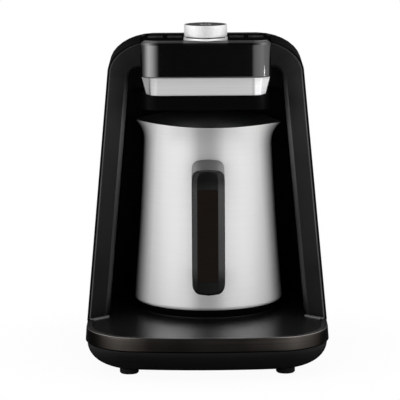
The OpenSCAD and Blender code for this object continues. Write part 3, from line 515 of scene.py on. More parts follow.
def steps(low, high, n):
    """Values at both ends and at n - 1 even steps between them."""
    return [low + (high - low) * i / n for i in range(n + 1)]


def round_angles(n):
    return steps(0, 2 * math.pi, n)[:-1]


def smoothed(radii):
    """Radii of a closed ring, each drawn towards its two neighbours."""
    n = len(radii)
    return [(radii[i - 1] + 2 * radii[i] + radii[(i + 1) % n]) / 4 for i in range(n)]


def farthest(inside, limit):
    """Largest distance up to a limit that is still inside, found by halving."""
    low, high = 0.0, limit
    for _ in range(36):
        mid = (low + high) / 2
        low, high = (mid, high) if inside(mid) else (low, mid)
    return low


# ----------------------------------------------- front frame

def line_at(z, inset):
    return (SIDE_LINE - inset - z * math.sin(SIDE_LEAN)) / math.cos(SIDE_LEAN)


def side_angle(w, h, n):
    """Angle at which a top corner curve meets the leaning side."""
    return math.atan((h / w * math.tan(SIDE_LEAN)) ** (1 / (2 - 2 / n)))


def corner(inset, top, w, h, n, t):
    """Point at angle t of a top corner curve, a superellipse of exponent n."""
    t0 = side_angle(w, h, n)
    cx = line_at(top - h + h * math.sin(t0) ** (2 / n), inset) - w * math.cos(t0) ** (2 / n)
    return (cx + w * math.cos(t) ** (2 / n), top - h + h * math.sin(t) ** (2 / n))


SIDE_STEPS = 28
SIDE_EASE = 1.3           # the steps along a side are closest at the deck
TOP_STEPS = 44
CURVE_STEPS = 120


def half_outline(inset, top, w, h, n, x_end):
    """Right half of an arch outline from the deck up and over to x_end."""
    t0 = side_angle(w, h, n)
    start = corner(inset, top, w, h, n, t0)
    side = []
    for i in range(SIDE_STEPS):
        z = DECK_Z + (start[1] - DECK_Z) * (i / SIDE_STEPS) ** SIDE_EASE
        side.append((line_at(z, inset), z))
    dense = [corner(inset, top, w, h, n, t0 + (QUARTER - t0) * (i / CURVE_STEPS))
             for i in range(CURVE_STEPS + 1)]
    if dense[-1][0] > x_end:
        dense.append((x_end, top))
    kept = [p for p in dense if p[0] > x_end]
    for a, b in zip(dense, dense[1:]):
        if a[0] > x_end >= b[0]:
            f = (a[0] - x_end) / (a[0] - b[0])
            kept.append((x_end, a[1] + (b[1] - a[1]) * f))
            break
    length = [0.0]
    for a, b in zip(kept, kept[1:]):
        length.append(length[-1] + math.dist(a, b))
    over = []
    for i in range(TOP_STEPS + 1):
        want = length[-1] * i / TOP_STEPS
        k = max(j for j in range(len(length)) if length[j] <= want + 1e-9)
        k = min(k, len(kept) - 2)
        f = (want - length[k]) / (length[k + 1] - length[k])
        over.append((kept[k][0] + (kept[k + 1][0] - kept[k][0]) * f,
                     kept[k][1] + (kept[k + 1][1] - kept[k][1]) * f))
    return side + over


def front_y(z):
    return (z - DECK_Z) * math.tan(FRONT_LEAN) - FRAME_FRONT


# Section of the frame from its outer outline to the bay: distance from one of the
# two, and depth behind the front plane (None is the flat back)
OUTER, BAY = "outer", "bay"
FRAME_SECTION = [(OUTER, 0.0, None), (OUTER, 0.0, 0.3), (OUTER, 0.08, 0.08), (OUTER, 0.3, 0.0),
                 (OUTER, 0.9, 0.0), (OUTER, 1.45, 0.0), (OUTER, 1.65, 0.06), (OUTER, 1.9, 0.25),
                 (OUTER, 2.2, 0.55), (OUTER, 2.6, 0.95), (BAY, 2.6, 9.2), (BAY, 1.7, 10.2),
                 (BAY, 1.0, 11.3), (BAY, 0.45, 12.7), (BAY, 0.12, 14.2), (BAY, 0.0, 16.0),
                 (BAY, 0.0, None)]
# Materials of the frame, and how far from its edges they reach; the rim takes painted shade and the
# inner edge a painted highlight
FACE, RIM, CREASE, INNER, SIDE = range(5)
FRAME_LOOKS = [SATIN_BLACK, RIM_BLACK, EDGE_BLACK, INNER_EDGE_HIGHLIGHT, BACK_BLACK]
RIM_WIDTH = 1.5
CREASE_WIDTH = 2.25
INNER_WIDTH = 2.7
# The arms widen a little where they stand on the deck
FOOT_FLARE = 1.9
FOOT_FLARE_H = 5.0


def frame_half(sign):
    outer = half_outline(0.0, TOWER_H, CROWN_W, CROWN_H, CROWN_N, NOTCH_X)
    inner = half_outline(FRAME_W, BAY_TOP, BAY_R, BAY_R, 2.0, NOTCH_X)
    rings = []
    for edge, gap, depth in FRAME_SECTION:
        ring = []
        for o, i in zip(outer, inner):
            share = gap / math.dist(o, i)
            if edge == BAY:
                share = 1 - share
            x = o[0] + (i[0] - o[0]) * share
            z = o[1] + (i[1] - o[1]) * share
            foot = max(0.0, 1 - (z - DECK_Z) / FOOT_FLARE_H) ** 2
            y = FRAME_BACK if depth is None else front_y(z) + depth
            ring.append((sign * (x + foot * FOOT_FLARE * share ** 3), y, z))
        rings.append(ring)
    return loft(rings, closed=False)


def frame_kinds(faces_per_strip):
    """Material of each face of a half, by the strip of the section that it lies in."""
    places = [(edge, gap) for edge, gap, _ in FRAME_SECTION]
    kinds = [SIDE]
    for (edge, gap), (other, far_gap) in zip(places[1:], places[2:]):
        if other == OUTER and far_gap <= RIM_WIDTH:
            kinds.append(RIM)
        elif other == OUTER and far_gap <= CREASE_WIDTH:
            kinds.append(CREASE)
        elif edge == BAY and gap <= INNER_WIDTH and far_gap < gap:
            kinds.append(INNER)
        else:
            kinds.append(FACE)
    return [kind for kind in kinds for _ in range(faces_per_strip)]


def strip_behind_head():
    """Part of the frame behind the head, whose top follows the crown."""
    middle = corner(0.0, TOWER_H, CROWN_W, CROWN_H, CROWN_N, QUARTER)[0]
    top = []
    for f in steps(1, 0, 6):
        share = (NOTCH_X - middle) / CROWN_W * f
        x = middle + CROWN_W * share
        top.append((x, TOWER_H - CROWN_H + CROWN_H * (1 - share ** CROWN_N) ** (1 / CROWN_N)))
    outline = [(NOTCH_X, BAY_TOP)] + top
    outline += [(-x, z) for x, z in outline[::-1]]
    rings = [[(x, y, z) for x, z in outline] for y in (NOTCH_BACK, FRAME_BACK)]
    return loft(rings, cap_first=True, cap_last=True)


halves = [frame_half(-1), frame_half(1)]
arch = add_piece("arch_frame", joined(halves + [strip_behind_head()]), FRAME_LOOKS, "base",
                 ["front_frame"], 50)
kinds = frame_kinds(len(halves[0][1]) // (len(FRAME_SECTION) - 1)) * 2
for face, kind in zip(arch.data.polygons, kinds):
    face.material_index = kind


# Plan of a foot strip: share of the arm's width, and depth behind the front plane
STRIP_PLAN = [(0.1, 0.0), (0.2, 0.7), (0.82, 9.2), (0.95, 11.8)]
# Section of a foot strip: height over the deck, and how far it stands out from the arm
STRIP_SECTION = [(0.0, 1.3), (0.5, 1.2), (1.0, 0.7), (1.1, -0.4)]
DIAGONAL = 0.7


def foot_highlight_strip(sign):
    """Thin strip along the slanted face of an arm, where it stands on the deck: a painted highlight of
    the arm's foot edge.
    """
    rings = []
    for up, out in STRIP_SECTION:
        z = DECK_Z + up
        rings.append([(sign * (line_at(z, 0) - FRAME_W * share - DIAGONAL * out),
                       front_y(z) + depth - DIAGONAL * out, z) for share, depth in STRIP_PLAN])
    return loft(rings, closed=False)


add_piece("foot_strips", joined([foot_highlight_strip(-1), foot_highlight_strip(1)]), [FOOT_HIGHLIGHT_GREY], "base", [],
          60)


# ------------------------------------------------------ head

def head_outline(w, front, rx, ry, back):
    """Plan of the head from its back left corner round the front to the back right one."""
    half = [(w / 2, y) for y in steps(back, ry - front, 6)[:-1]]
    half += [(w / 2 - rx + rx * math.cos(a), ry - front - ry * math.sin(a))
             for a in steps(0, QUARTER, 16)]
    half += [(w / 2 - rx - (w - 2 * rx) * i / 12, -front) for i in range(1, 6)]
    return [(-x, y) for x, y in half] + [(0.0, -front)] + half[::-1]


def at_height(z, outline):
    return [(x, y, z) for x, y in outline]


LIP_R = 2.9
HEAD_RY = 9.0
SHOULDER_DROP = 1.4
PANEL_W = HEAD_W - 6.2
PANEL_FRONT = HEAD_FRONT - 7.1
PANEL_RX, PANEL_RY = 8.0, 7.0
PANEL_T = 1.2
# Lower edge of the head: height over the silver band, and inset
HEAD_EDGE = [(0.02, 1.5), (0.02, 0.25), (0.3, 0.0), (0.8, 0.0)]


def head_ring(z, inset):
    """Outline of the head; near the top its sides drop to meet the frame behind."""
    plan = head_outline(HEAD_W - 2 * inset, HEAD_FRONT - inset, HEAD_R - inset, HEAD_RY - inset,
                        HEAD_BACK)
    top = max(0.0, 1 - (TOWER_H - z) / LIP_R)
    ring = []
    for x, y in plan:
        share = max(0.0, (abs(x) - PANEL_W / 2) / (HEAD_W - PANEL_W) * 2)
        ring.append((x, y, z - top * SHOULDER_DROP * min(1.0, share)))
    return ring


rings = [head_ring(HEAD_Z + up, inset) for up, inset in HEAD_EDGE]
for a in steps(0, QUARTER, 8):
    rings.append(head_ring(TOWER_H - LIP_R + LIP_R * math.sin(a), LIP_R * (1 - math.cos(a))))


def head_side(middle, normal):
    """1 for the dull top of the head and its side edges, 2 for the edge along its front."""
    on_lip = middle[2] > TOWER_H - LIP_R - SHOULDER_DROP
    if normal[2] > 0.97 or (on_lip and middle[1] > HEAD_RY - HEAD_FRONT):
        return 1
    return 2 if on_lip and normal[2] > 0.05 else 0


panel_edge = head_outline(PANEL_W, PANEL_FRONT, PANEL_RX, PANEL_RY, HEAD_BACK - 2)
rings += [at_height(z, panel_edge) for z in (TOWER_H, TOWER_H - PANEL_T)]
add_piece("head_front", loft(rings), [GLOSS_BLACK, PANEL, LIP_BLACK], "base", ["head_shell"],
          50, head_side)

# The band's corners have two flat facets: width in X and depth in Y of each,
# at the top and at the bottom of the band
FACETS_TOP = ((5.4, 8.0), (4.9, 1.5))
FACETS_LOW = ((3.5, 7.2), (3.7, 1.4))
BAND_TOP_IN = 0.8
# Edges of the silver band: inset, and height under its top or over its bottom
SILVER_TOP = [(1.2, 0.02), (0.3, 0.02), (0.0, 0.3)]
SILVER_LOW = [(0.3, 0.05), (1.4, 0.0)]


def band_outline(f, inset):
    """Plan of the silver band at a share f of the way down, with softened corners."""
    w = HEAD_W / 2 - BAND_TOP_IN - (BAND_IN - BAND_TOP_IN) * f - inset
    front = HEAD_FRONT - 0.2 - 1.8 * f - inset
    (ax, ay), (bx, by) = [[t + (b - t) * f for t, b in zip(top, low)]
                          for top, low in zip(FACETS_TOP, FACETS_LOW)]
    half = [(w, HEAD_BACK), (w, 0.0), (w, ay + by - front + 0.4), (w - 0.15, ay + by - front)]
    half += [(w - ax + 0.2, by - front + 0.25), (w - ax - 0.2, by - front - 0.05)]
    half += [(w - ax - bx + 0.5, 0.15 - front), (w - ax - bx - 0.5, -front), (10.0, -front)]
    return [(-x, y) for x, y in half] + half[::-1]


rings = [at_height(HEAD_Z - down, band_outline(0.0, inset)) for inset, down in SILVER_TOP]
for f, z in zip(steps(0, 1, 6), steps(HEAD_Z - 0.6, BAND_Z + 0.5, 6)):
    rings.append(at_height(z, band_outline(f, 0.0)))
rings += [at_height(BAND_Z + up, band_outline(1.0, inset)) for inset, up in SILVER_LOW]
# The right corner facets take the brighter copy of the silver: a painted highlight
add_piece("silver_band", loft(rings), [SILVER_BAND, SILVER_PAINTED_HIGHLIGHT], "base", ["head_band"],
          14, lambda middle, normal: normal[0] > 0.35 and middle[1] < 0)


# ------------------------------------------------------ knob

KNOB_Y = -13.5
KNOB_LOW = 213.8
KNOB_TOP = 221.6
FLUTES = 150
FLUTE_DEPTH = 0.09


def circle(r, z, n, flutes=0.0):
    """Ring round the knob's axis, with grooves of a depth if it is fluted."""
    ring = []
    for a in round_angles(n):
        q = r - flutes * (0.5 - 0.5 * math.cos(FLUTES * a))
        ring.append((q * math.cos(a), KNOB_Y + q * math.sin(a), z))
    return ring


# Edges of the knob's side: inset, and height over its foot or under its top
KNOB_FOOT = [(2.2, 0.0), (0.5, 0.0), (0.1, 0.25)]
KNOB_EDGE = [(0.08, 0.2), (0.3, 0.0), (0.55, 0.0), (0.6, 0.5)]
KNOB_STEPS = FLUTES * 4
rings = [circle(KNOB_R - inset, KNOB_LOW + up, KNOB_STEPS) for inset, up in KNOB_FOOT]
rings += [circle(KNOB_R, z, KNOB_STEPS, FLUTE_DEPTH) for z in steps(KNOB_LOW + 0.6, KNOB_TOP - 0.5, 4)]
rings += [circle(KNOB_R - inset, KNOB_TOP - down, KNOB_STEPS) for inset, down in KNOB_EDGE]
add_piece("knob_skirt", loft(rings), [KNOB_SILVER], "knob", ["knob"], 35)

CAP_Z = KNOB_TOP - 0.12
CAP_STEPS = 96
# Radius and depth of the rings of the cap
CAP_SECTION = [(KNOB_R - 0.62, 0.4), (KNOB_R - 0.62, 0.05), (KNOB_R - 0.8, 0.0), (KNOB_R - 3.0, 0.0),
               (6.0, 0.0)]
rings = [circle(r, CAP_Z - depth, CAP_STEPS) for r, depth in CAP_SECTION]
add_piece("knob_top", loft(rings, cap_last=True), [KNOB_CAP], "knob", ["knob_cap"], 35)

STROKE_FROM = 1.0
STROKE_OVER = 0.4


def ring_mark(r0, r1, z, gap):
    """Flat open ring with a stroke in its gap, the common sign for a switch."""
    angles = steps(QUARTER + gap, 5 * QUARTER - gap, 40)
    rings = [[(r * math.cos(a), KNOB_Y + r * math.sin(a), z) for a in angles] for r in (r0, r1)]
    w, near, far = (r1 - r0) / 2, KNOB_Y + STROKE_FROM, KNOB_Y + r1 + STROKE_OVER
    stroke = [(-w, near, z), (w, near, z), (w, far, z), (-w, far, z)]
    return joined([loft(rings, closed=False), (stroke, [(0, 1, 2, 3)])])


add_piece("knob_mark", ring_mark(2.7, 3.5, CAP_Z + 0.03, math.radians(32)), [MARK_GREY], "knob", [],
          35)


# ------------------------------------------------------ base

def base_radius(angle, inset):
    """Distance from the middle of the base to its outline in one direction."""
    w, d = BASE_W / 2 - inset, BASE_D / 2 - inset
    fr, rr = BASE_FRONT_R - inset, BASE_REAR_R - inset
    dx, dy = math.cos(angle), math.sin(angle)

    def inside(q):
        x, y = abs(q * dx), q * dy
        if x > w or y > d or y < -d:
            return False
        if y < -d + fr and x > w - fr and math.hypot(x - w + fr, y + d - fr) > fr:
            return False
        if y > d - rr and x > w - rr and math.hypot(x - w + rr, y - d + rr) > rr:
            return False
        return math.hypot(x, y - BOW_R + BASE_D / 2) <= BOW_R - inset

    return farthest(inside, 200.0)


BASE_ANGLES = round_angles(240)


def base_ring(inset, z):
    radii = smoothed([base_radius(a, inset) for a in BASE_ANGLES])
    return [(r * math.cos(a), r * math.sin(a), z) for a, r in zip(BASE_ANGLES, radii)]


# Edges of the band round the base: inset, and height over the groove or under its top
BAND_TOP = DECK_Z + BAND_LIP
BAND_FOOT = [(3.2, 0.3), (1.4, 0.3), (1.3, 0.55), (0.35, 0.6), (0.08, 0.85)]
BAND_EDGES = [(0.75, 0.25), (1.05, 0.05), (1.5, 0.0), (BAND_LIP_W - 0.3, 0.0),
              (BAND_LIP_W - 0.1, 0.1), (BAND_LIP_W, BAND_LIP + 0.2)]
rings = [base_ring(inset, GROOVE_Z + up) for inset, up in BAND_FOOT]
for inset, z in zip(steps(0.05, 0.6, 6), steps(GROOVE_Z + 1.1, BAND_TOP - 0.6, 6)):
    rings.append(base_ring(inset, z))
rings += [base_ring(inset, BAND_TOP - down) for inset, down in BAND_EDGES]
add_piece("edge_band", loft(rings), [BAND_BROWN, BAND_EDGE], "base", ["base_band"],
          35, lambda middle, normal: middle[2] > BAND_TOP - 0.4)

# Lower shell: inset and height of its upper edge, then a quarter turn in to its flat foot
SHELL_LIP = 1.2
SHELL_TOP = [(3.4, 0.1), (SHELL_LIP + 0.6, 0.1), (SHELL_LIP + 0.15, -0.15)]
SHELL_SIDE_Z = GROOVE_Z - 0.45
SHELL_CURVE = 0.95
SHELL_IN = 20
SHELL_MIDDLE = 40
rings = [base_ring(inset, GROOVE_Z + up) for inset, up in SHELL_TOP]
for a in steps(0, QUARTER, 14):
    rings.append(base_ring(SHELL_LIP + (SHELL_IN - SHELL_LIP) * (1 - math.cos(a) ** SHELL_CURVE),
                           SHELL_SIDE_Z - (SHELL_SIDE_Z - FOOT_H) * math.sin(a)))
rings.append(base_ring(SHELL_MIDDLE, FOOT_H))
add_piece("lower_shell", loft(rings, cap_last=True), [SHELL_BLACK], "base", ["base_shell"],
          40)


# ------------------------------------------------------- jug

# The rim, seen from above, is a lens with a pouring tip on each side: half its width,
# and the depth and exponent of its front and back curves
RIM_A = 49.2
RIM_FRONT, RIM_FRONT_P = 47.0, 2.2
RIM_BACK, RIM_BACK_P = 48.2, 3.0
TIP_FORWARD = 3.0
TIP_DROP = 0.8
# The jug's rim isn't quite true: the left tip stands a little higher than the right one
RIM_LEAN = 0.014
RIM_SHIFT = 0.7
RIM_TURN = math.radians(3.0)
# Exponents of the bend from the neck out to the rim, and in to it
FLARE_OUT, FLARE_IN = 3.0, 1.6
WAIST = 0.95
WAIST_SPAN = math.pi * 0.75
JUG_WALL = 1.0


def rim_radius(angle):
    """Distance from the jug's axis to the rim in one direction."""
    def inside(r):
        x, y = r * abs(math.cos(angle)), r * math.sin(angle)
        if x >= RIM_A:
            return False
        front = TIP_FORWARD + (RIM_FRONT - TIP_FORWARD) * (1 - (x / RIM_A) ** RIM_FRONT_P)
        back = (RIM_BACK + TIP_FORWARD) * (1 - (x / RIM_A) ** RIM_BACK_P) - TIP_FORWARD
        return -front < y < back

    return farthest(inside, 60.0)


JUG_ANGLES = round_angles(256)
rim = [rim_radius((a + RIM_TURN) % (2 * math.pi)) for a in JUG_ANGLES]
for _ in range(3):
    rim = smoothed(rim)


def wall_radius(z):
    """Outer radius of the jug below its rim: a cone with a slight waist."""
    up = (z - POT_Z) / (NECK_Z - POT_Z)
    return POT_R + (NECK_R - POT_R) * up - WAIST * math.sin(min(1.0, up) * WAIST_SPAN)


def jug_ring(z, inset):
    wall = wall_radius(z)
    ring = []
    for a, rim_r in zip(JUG_ANGLES, rim):
        r, drop, shift = wall, 0.0, 0.0
        if z > NECK_Z:
            f = (z - NECK_Z) / (RIM_Z - NECK_Z)
            start = NECK_R + (NECK_R - POT_R) / (NECK_Z - POT_Z) * (z - NECK_Z) * (1 - f)
            start -= WAIST * math.sin(WAIST_SPAN) * (1 - f)
            r = start + (rim_r - start) * f ** (FLARE_OUT if rim_r > NECK_R else FLARE_IN)
            across = r * math.cos(a)
            drop = f * (TIP_DROP * min(1.0, abs(across) / RIM_A) ** 6 + RIM_LEAN * across)
            shift = f * RIM_SHIFT
        r -= inset
        ring.append((POT_X + shift + r * math.cos(a), POT_Y + r * math.sin(a), z - drop))
    return ring


FOOT_ROUND = 2.8
outer = [jug_ring(POT_Z, FOOT_ROUND + 1.0)]
for a in steps(0, QUARTER, 6):
    outer.append(jug_ring(POT_Z + FOOT_ROUND * (1 - math.cos(a)), FOOT_ROUND * (1 - math.sin(a))))
outer += [jug_ring(z, 0.0) for z in steps(POT_Z + FOOT_ROUND, NECK_Z, 12)[1:]]
outer += [jug_ring(z, 0.0) for z in steps(NECK_Z, RIM_Z - 0.35, 14)[1:]]
outer += [jug_ring(RIM_Z - 0.1, 0.12), jug_ring(RIM_Z, 0.4)]
inner = [outer[-1], jug_ring(RIM_Z - 0.12, 0.85)]
inner += [jug_ring(z, JUG_WALL) for z in steps(RIM_Z - 0.3, NECK_Z, 12)]
inner += [jug_ring(z, JUG_WALL) for z in steps(NECK_Z, POT_Z + 4.2, 6)[1:]]
# Round edge of the jug's floor: height over its foot, and inset
inner += [jug_ring(POT_Z + up, inset) for up, inset in ((2.0, 2.0), (1.3, 4.0), (1.2, 12.0))]


def jug_side(middle, normal):
    """1 for faces that look into the jug, and for the far side of its rim, which take the steel painted
    darker as shade.
    """
    out = normal[0] * (middle[0] - POT_X) + normal[1] * (middle[1] - POT_Y)
    far_rim = middle[2] > RIM_Z - 0.5 and middle[1] > POT_Y + 4
    inside = out < 0 and middle[2] < RIM_Z - 0.25
    return inside or far_rim or (middle[2] < POT_Z + 5 and normal[2] > 0.3)


add_piece("jug_body", joined([loft(outer), loft(inner, cap_last=True)]), [POT_STEEL, POT_INSIDE_SHADE],
          "pot", ["pot_shell"], 60, jug_side)

HANDLE_W, HANDLE_T, ARM_T = 21.4, 13.0, 11.0
HANDLE_TOP, HANDLE_LOW, HANDLE_FRONT = 134.4, 52.2, 91.85
UPPER_START, LOWER_START = -41.3, -47.0
# The arms reach a little into the jug's wall, and end there in rings that are drawn in
IN_WALL = 0.4
END_SHARES = (0.1, 0.55)
BEND_OUT = 2.0
BEND_IN = 8.0
GRIP_FADE = 5.0
FACE_SHIFT = 0.45


def bend(y, z, radius, angle):
    """Point on the bend from the arm down to the grip, round a centre."""
    return (y - radius * math.sin(angle), z + radius * math.cos(angle))


def handle_path(start):
    """Stations along the upper half of the handle, from the jug down to its middle.

    Each is a point of the outer face, the one of the inner face behind it (Y from the jug
    axis and Z below the top), the thickness there, and the roundness: 1 on the arm, 0 on the grip.
    """
    front, back = -HANDLE_FRONT, HANDLE_T - HANDLE_FRONT
    half = (HANDLE_TOP - HANDLE_LOW) / 2
    path = []
    for f in steps(0, 1, 9)[:-1]:
        path.append(((start + (front + BEND_OUT - start) * f, 0.0),
                     (start + (back + BEND_IN - start) * f, -ARM_T), ARM_T, 1.0))
    for a, thick in zip(steps(0, QUARTER, 10), steps(ARM_T, HANDLE_T, 10)):
        path.append((bend(front + BEND_OUT, -BEND_OUT, BEND_OUT, a),
                     bend(back + BEND_IN, -ARM_T - BEND_IN, BEND_IN, a), thick, 1.0))
    for drop, inner in list(zip(steps(BEND_OUT, half, 14), steps(ARM_T + BEND_IN, half, 14)))[1:]:
        path.append(((front, -drop), (back, -inner), HANDLE_T,
                     max(0.0, 1 - (drop - BEND_OUT) / GRIP_FADE) ** 1.5))
    return path


ARM_ROUND = 5.6
ARM_BOW = 0.5
# Edges of the handle: distance from its side, and from its outer or its inner face
GRIP_BEVEL = [(4.0, 0.0), (3.7, 0.1), (3.3, 0.45), (2.1, 1.9), (0.8, 3.4), (0.3, 4.2),
              (0.05, 5.2), (0.0, 6.2)]
INNER_BEVEL = [(0.0, 2.4), (0.2, 1.4), (0.7, 0.6), (1.5, 0.1), (2.4, 0.0)]


def handle_section(thick, roundness):
    """Half of the section from the middle of the outer face round to the inner face."""
    w = HANDLE_W / 2
    half = [(0, 0)]
    for i, (side, depth) in enumerate(GRIP_BEVEL):
        a = QUARTER * i / (len(GRIP_BEVEL) - 1)
        arc = (w - ARM_ROUND * (1 - math.sin(a)), ARM_BOW + ARM_ROUND * (1 - math.cos(a)))
        half.append(tuple(g + (r - g) * roundness for g, r in zip((w - side, depth), arc)))
    half += [(w - side, thick - depth) for side, depth in INNER_BEVEL]
    return half + [(0, thick)]


def handle_ring(station, z, turn, share=1.0):
    """Ring of the handle at a station; a share below 1 draws it in, to close an arm's end."""
    (y0, z0), (y1, z1), thick, roundness = station
    half = handle_section(thick, roundness)
    both = half + [(-u, v) for u, v in half[-2:0:-1]]
    ring = []
    for u, v in both:
        u, v = u * share, thick / 2 + (v - thick / 2) * share
        u -= FACE_SHIFT * (1 - roundness) * max(0.0, 1 - v / GRIP_BEVEL[-1][1])
        height = z + turn * (z0 + (z1 - z0) * v / thick)
        wall = math.sqrt((wall_radius(height) - IN_WALL) ** 2 - u ** 2)
        ring.append((POT_X + u, POT_Y + min(-wall, y0 + (y1 - y0) * v / thick), height))
    return ring


upper, lower = handle_path(UPPER_START), handle_path(LOWER_START)
rings = [handle_ring(upper[0], HANDLE_TOP, 1, share) for share in END_SHARES]
rings += [handle_ring(station, HANDLE_TOP, 1) for station in upper]
rings += [handle_ring(station, HANDLE_LOW, -1) for station in lower[-2::-1]]
rings += [handle_ring(lower[0], HANDLE_LOW, -1, share) for share in END_SHARES[::-1]]
add_piece("jug_handle", loft(rings, cap_first=True, cap_last=True), [HANDLE_BLACK], "pot",
          ["pot_handle"], 50)


def plate(x0, x1, z0, z1, r, y_face, y_back, edge):
    """Thin plate facing -Y with round corners and a small chamfer round its face."""
    def outline(inset, y):
        ring = []
        for cx, cz, start in ((x1 - r, z1 - r, 0), (x0 + r, z1 - r, QUARTER),
                              (x0 + r, z0 + r, 2 * QUARTER), (x1 - r, z0 + r, 3 * QUARTER)):
            for a in steps(start, start + QUARTER, 8):
                ring.append((cx + (r - inset) * math.cos(a), y, cz + (r - inset) * math.sin(a)))
        return ring
    return loft([outline(0, y_back), outline(0, y_face + edge), outline(edge, y_face)], cap_last=True)


INLAY_W = 13.5
INLAY_LOW, INLAY_TOP = 61.2, 121.8
INLAY_X = POT_X - FACE_SHIFT
INLAY_R = 1.5
INLAY_FACE, INLAY_BACK = 92.0, 91.0     # in front of the jug's axis
INLAY_EDGE = 0.12
inlay = plate(INLAY_X - INLAY_W / 2, INLAY_X + INLAY_W / 2, INLAY_LOW, INLAY_TOP, INLAY_R,
              POT_Y - INLAY_FACE, POT_Y - INLAY_BACK, INLAY_EDGE)
add_piece("handle_face", inlay, [HANDLE_BROWN], "pot", ["handle_inlay"], 30)


# ----------------------------------------------------- stage

# Radiance of the studio round the object, by the angle from the front in
# degrees: dark behind the camera, soft boxes on both sides, dark at the back
LEFT_SIDE = [(0, 0.004), (7, 0.02), (18, 0.6), (34, 1.6), (52, 2.2), (72, 2.1), (92, 1.5),
             (120, 0.5), (180, 0.02)]
RIGHT_SIDE = [(0, 0.004), (4, 0.03), (12, 0.6), (34, 1.25), (52, 1.85), (68, 1.6), (90, 1.3),
              (120, 0.6), (180, 0.02)]
SIDE_SCALE = 2.4
TOP_LIGHT = 1.3


def build_world():
    """Studio light from all round. The camera, and gloss that faces the back wall, see white."""
    world = bpy.data.worlds.new("studio")
    bpy.context.scene.world = world
    world.use_nodes = True
    tree = world.node_tree
    tree.nodes.clear()
    x, y, z = place(tree, "Generated")
    turn = calc(tree, "ARCTAN2", x, times(tree, y, -1.0))
    share = calc(tree, "DIVIDE", calc(tree, "ABSOLUTE", turn, 0.0), math.pi)
    left, right = [stops(tree, share, [(d / 180, v / SIDE_SCALE) for d, v in levels])
                   for levels in (LEFT_SIDE, RIGHT_SIDE)]
    side = add(tree, "Background")
    feed(tree, mixed(tree, calc(tree, "GREATER_THAN", x, 0.0), left, right), side.inputs["Color"])
    # The side light fades out far below the horizon and towards the top light
    tall = times(tree, ramp(tree, z, -0.5, -0.12), ramp(tree, z, 0.6, 0.9, 1.0, 0.0))
    feed(tree, times(tree, tall, SIDE_SCALE), side.inputs["Strength"])
    top = add(tree, "Background")
    feed(tree, times(tree, ramp(tree, z, 0.7, 0.92), TOP_LIGHT), top.inputs["Strength"])
    both = add(tree, "AddShader")
    feed(tree, side.outputs[0], both.inputs[0])
    feed(tree, top.outputs[0], both.inputs[1])
    white = add(tree, "Background")
    white.inputs["Color"].default_value = (1, 1, 1, 1)
    behind = times(tree, ramp(tree, y, 0.3, 0.7), ramp(tree, z, 0.3, 0.6))
    wall = times(tree, ray_kinds(tree, "Is Glossy Ray", "Is Transmission Ray"), behind)
    seen = calc(tree, "MAXIMUM", wall, ray_kinds(tree, "Is Camera Ray"))
    out = add(tree, "OutputWorld")
    feed(tree, mixed_shaders(tree, seen, both.outputs[0], white.outputs[0]), out.inputs["Surface"])


FLOOR_R = 600
SHADOW_NEAR, SHADOW_FAR = 0.09, 0.2     # metres from the middle, between which the shadow fades


def build_floor():
    """White floor that keeps a soft shadow close to the object."""
    angles = round_angles(96)
    points, faces = loft([[(FLOOR_R * q * math.cos(a), FLOOR_R * q * math.sin(a), 0.0) for a in angles]
                          for q in (0.25, 0.5, 0.75, 1.0)])
    faces.append(tuple(range(len(angles))))
    mesh = new_mesh("floor", (points, faces))
    mat, tree, shader = new_material("floor")
    shader.inputs["Base Color"].default_value = (0.8, 0.8, 0.8, 1)
    shader.inputs["Roughness"].default_value = 0.9
    shader.inputs["Specular IOR Level"].default_value = 0.1
    coord = add(tree, "TexCoord")
    distance = add(tree, "VectorMath")
    distance.operation = "LENGTH"
    feed(tree, coord.outputs["Object"], distance.inputs[0])
    far = ramp(tree, distance.outputs["Value"], SHADOW_NEAR, SHADOW_FAR, 0.95, 1.0)
    glow = add(tree, "Emission")
    glow.inputs["Strength"].default_value = 1.0
    seen = ray_kinds(tree, "Is Camera Ray", "Is Transmission Ray")
    feed(tree, mixed_shaders(tree, times(tree, seen, far), shader.outputs[0], glow.outputs[0]),
         tree.nodes["Material Output"].inputs["Surface"])
    mesh.materials.append(mat)
    obj = new_object("floor", mesh)


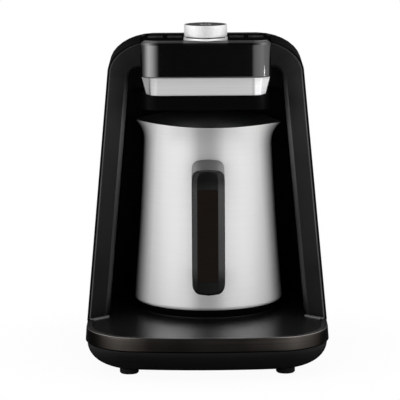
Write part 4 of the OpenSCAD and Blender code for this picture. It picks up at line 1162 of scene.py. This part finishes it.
def lamp(name, kind, aim, azimuth, elevation, distance):
    """Lamp aimed at a place. Azimuth 0 is the front, positive to the right, in degrees."""
    a, e = math.radians(azimuth), math.radians(elevation)
    away = Vector((math.sin(a) * math.cos(e), -math.cos(a) * math.cos(e), math.sin(e)))
    light = bpy.data.lights.new(name, kind)
    obj = new_object(name, light)
    obj.location = aim + distance * away
    obj.rotation_euler = (-away).to_track_quat("-Z", "Y").to_euler()
    return light


def softbox(name, aim, azimuth, elevation, distance, width, height, radiance):
    light = lamp(name, "AREA", aim, azimuth, elevation, distance)
    light.shape = "RECTANGLE"
    light.size, light.size_y = width, height
    light.energy = radiance * math.pi * width * height


def snoot(name, aim, azimuth, elevation, distance, width, watts):
    """Narrow beam that falls on one spot of about the width given."""
    light = lamp(name, "SPOT", aim, azimuth, elevation, distance)
    light.spot_size = 2 * math.atan(width / 2 / distance)
    light.spot_blend = 0.5
    light.shadow_soft_size = 0.01
    light.energy = watts


build_world()
build_floor()
MIDDLE = Vector((0.0, 0.0, 0.11))
BAND_CORNER = Vector((HEAD_W / 2 - 2, 4 - HEAD_FRONT, (BAND_Z + HEAD_Z) / 2 - 1)) * MM
softbox("box_top", MIDDLE, azimuth=0, elevation=80, distance=1.3, width=1.1, height=0.8, radiance=0.9)
# Brightens the right corner of the silver band
snoot("snoot_right", BAND_CORNER, azimuth=65, elevation=-8, distance=0.5, width=0.016, watts=5.0)

LENS_MM = 259.7
CAMERA_AT = Vector((-0.00425, -1.91107, 0.40471))
CAMERA_PITCH = math.radians(81.0)
CAMERA_ROLL = math.radians(-0.3)
camera = bpy.data.cameras.new("camera")
camera.lens = LENS_MM
camera.sensor_width = 36.0
camera.clip_end = 20.0
camera_object = new_object("camera", camera)
camera_object.location = CAMERA_AT
camera_object.rotation_euler = (Matrix.Rotation(CAMERA_PITCH, 3, "X")
                                @ Matrix.Rotation(CAMERA_ROLL, 3, "Z")).to_euler()
bpy.context.scene.camera = camera_object
bpy.context.scene.view_settings.view_transform = "Standard"
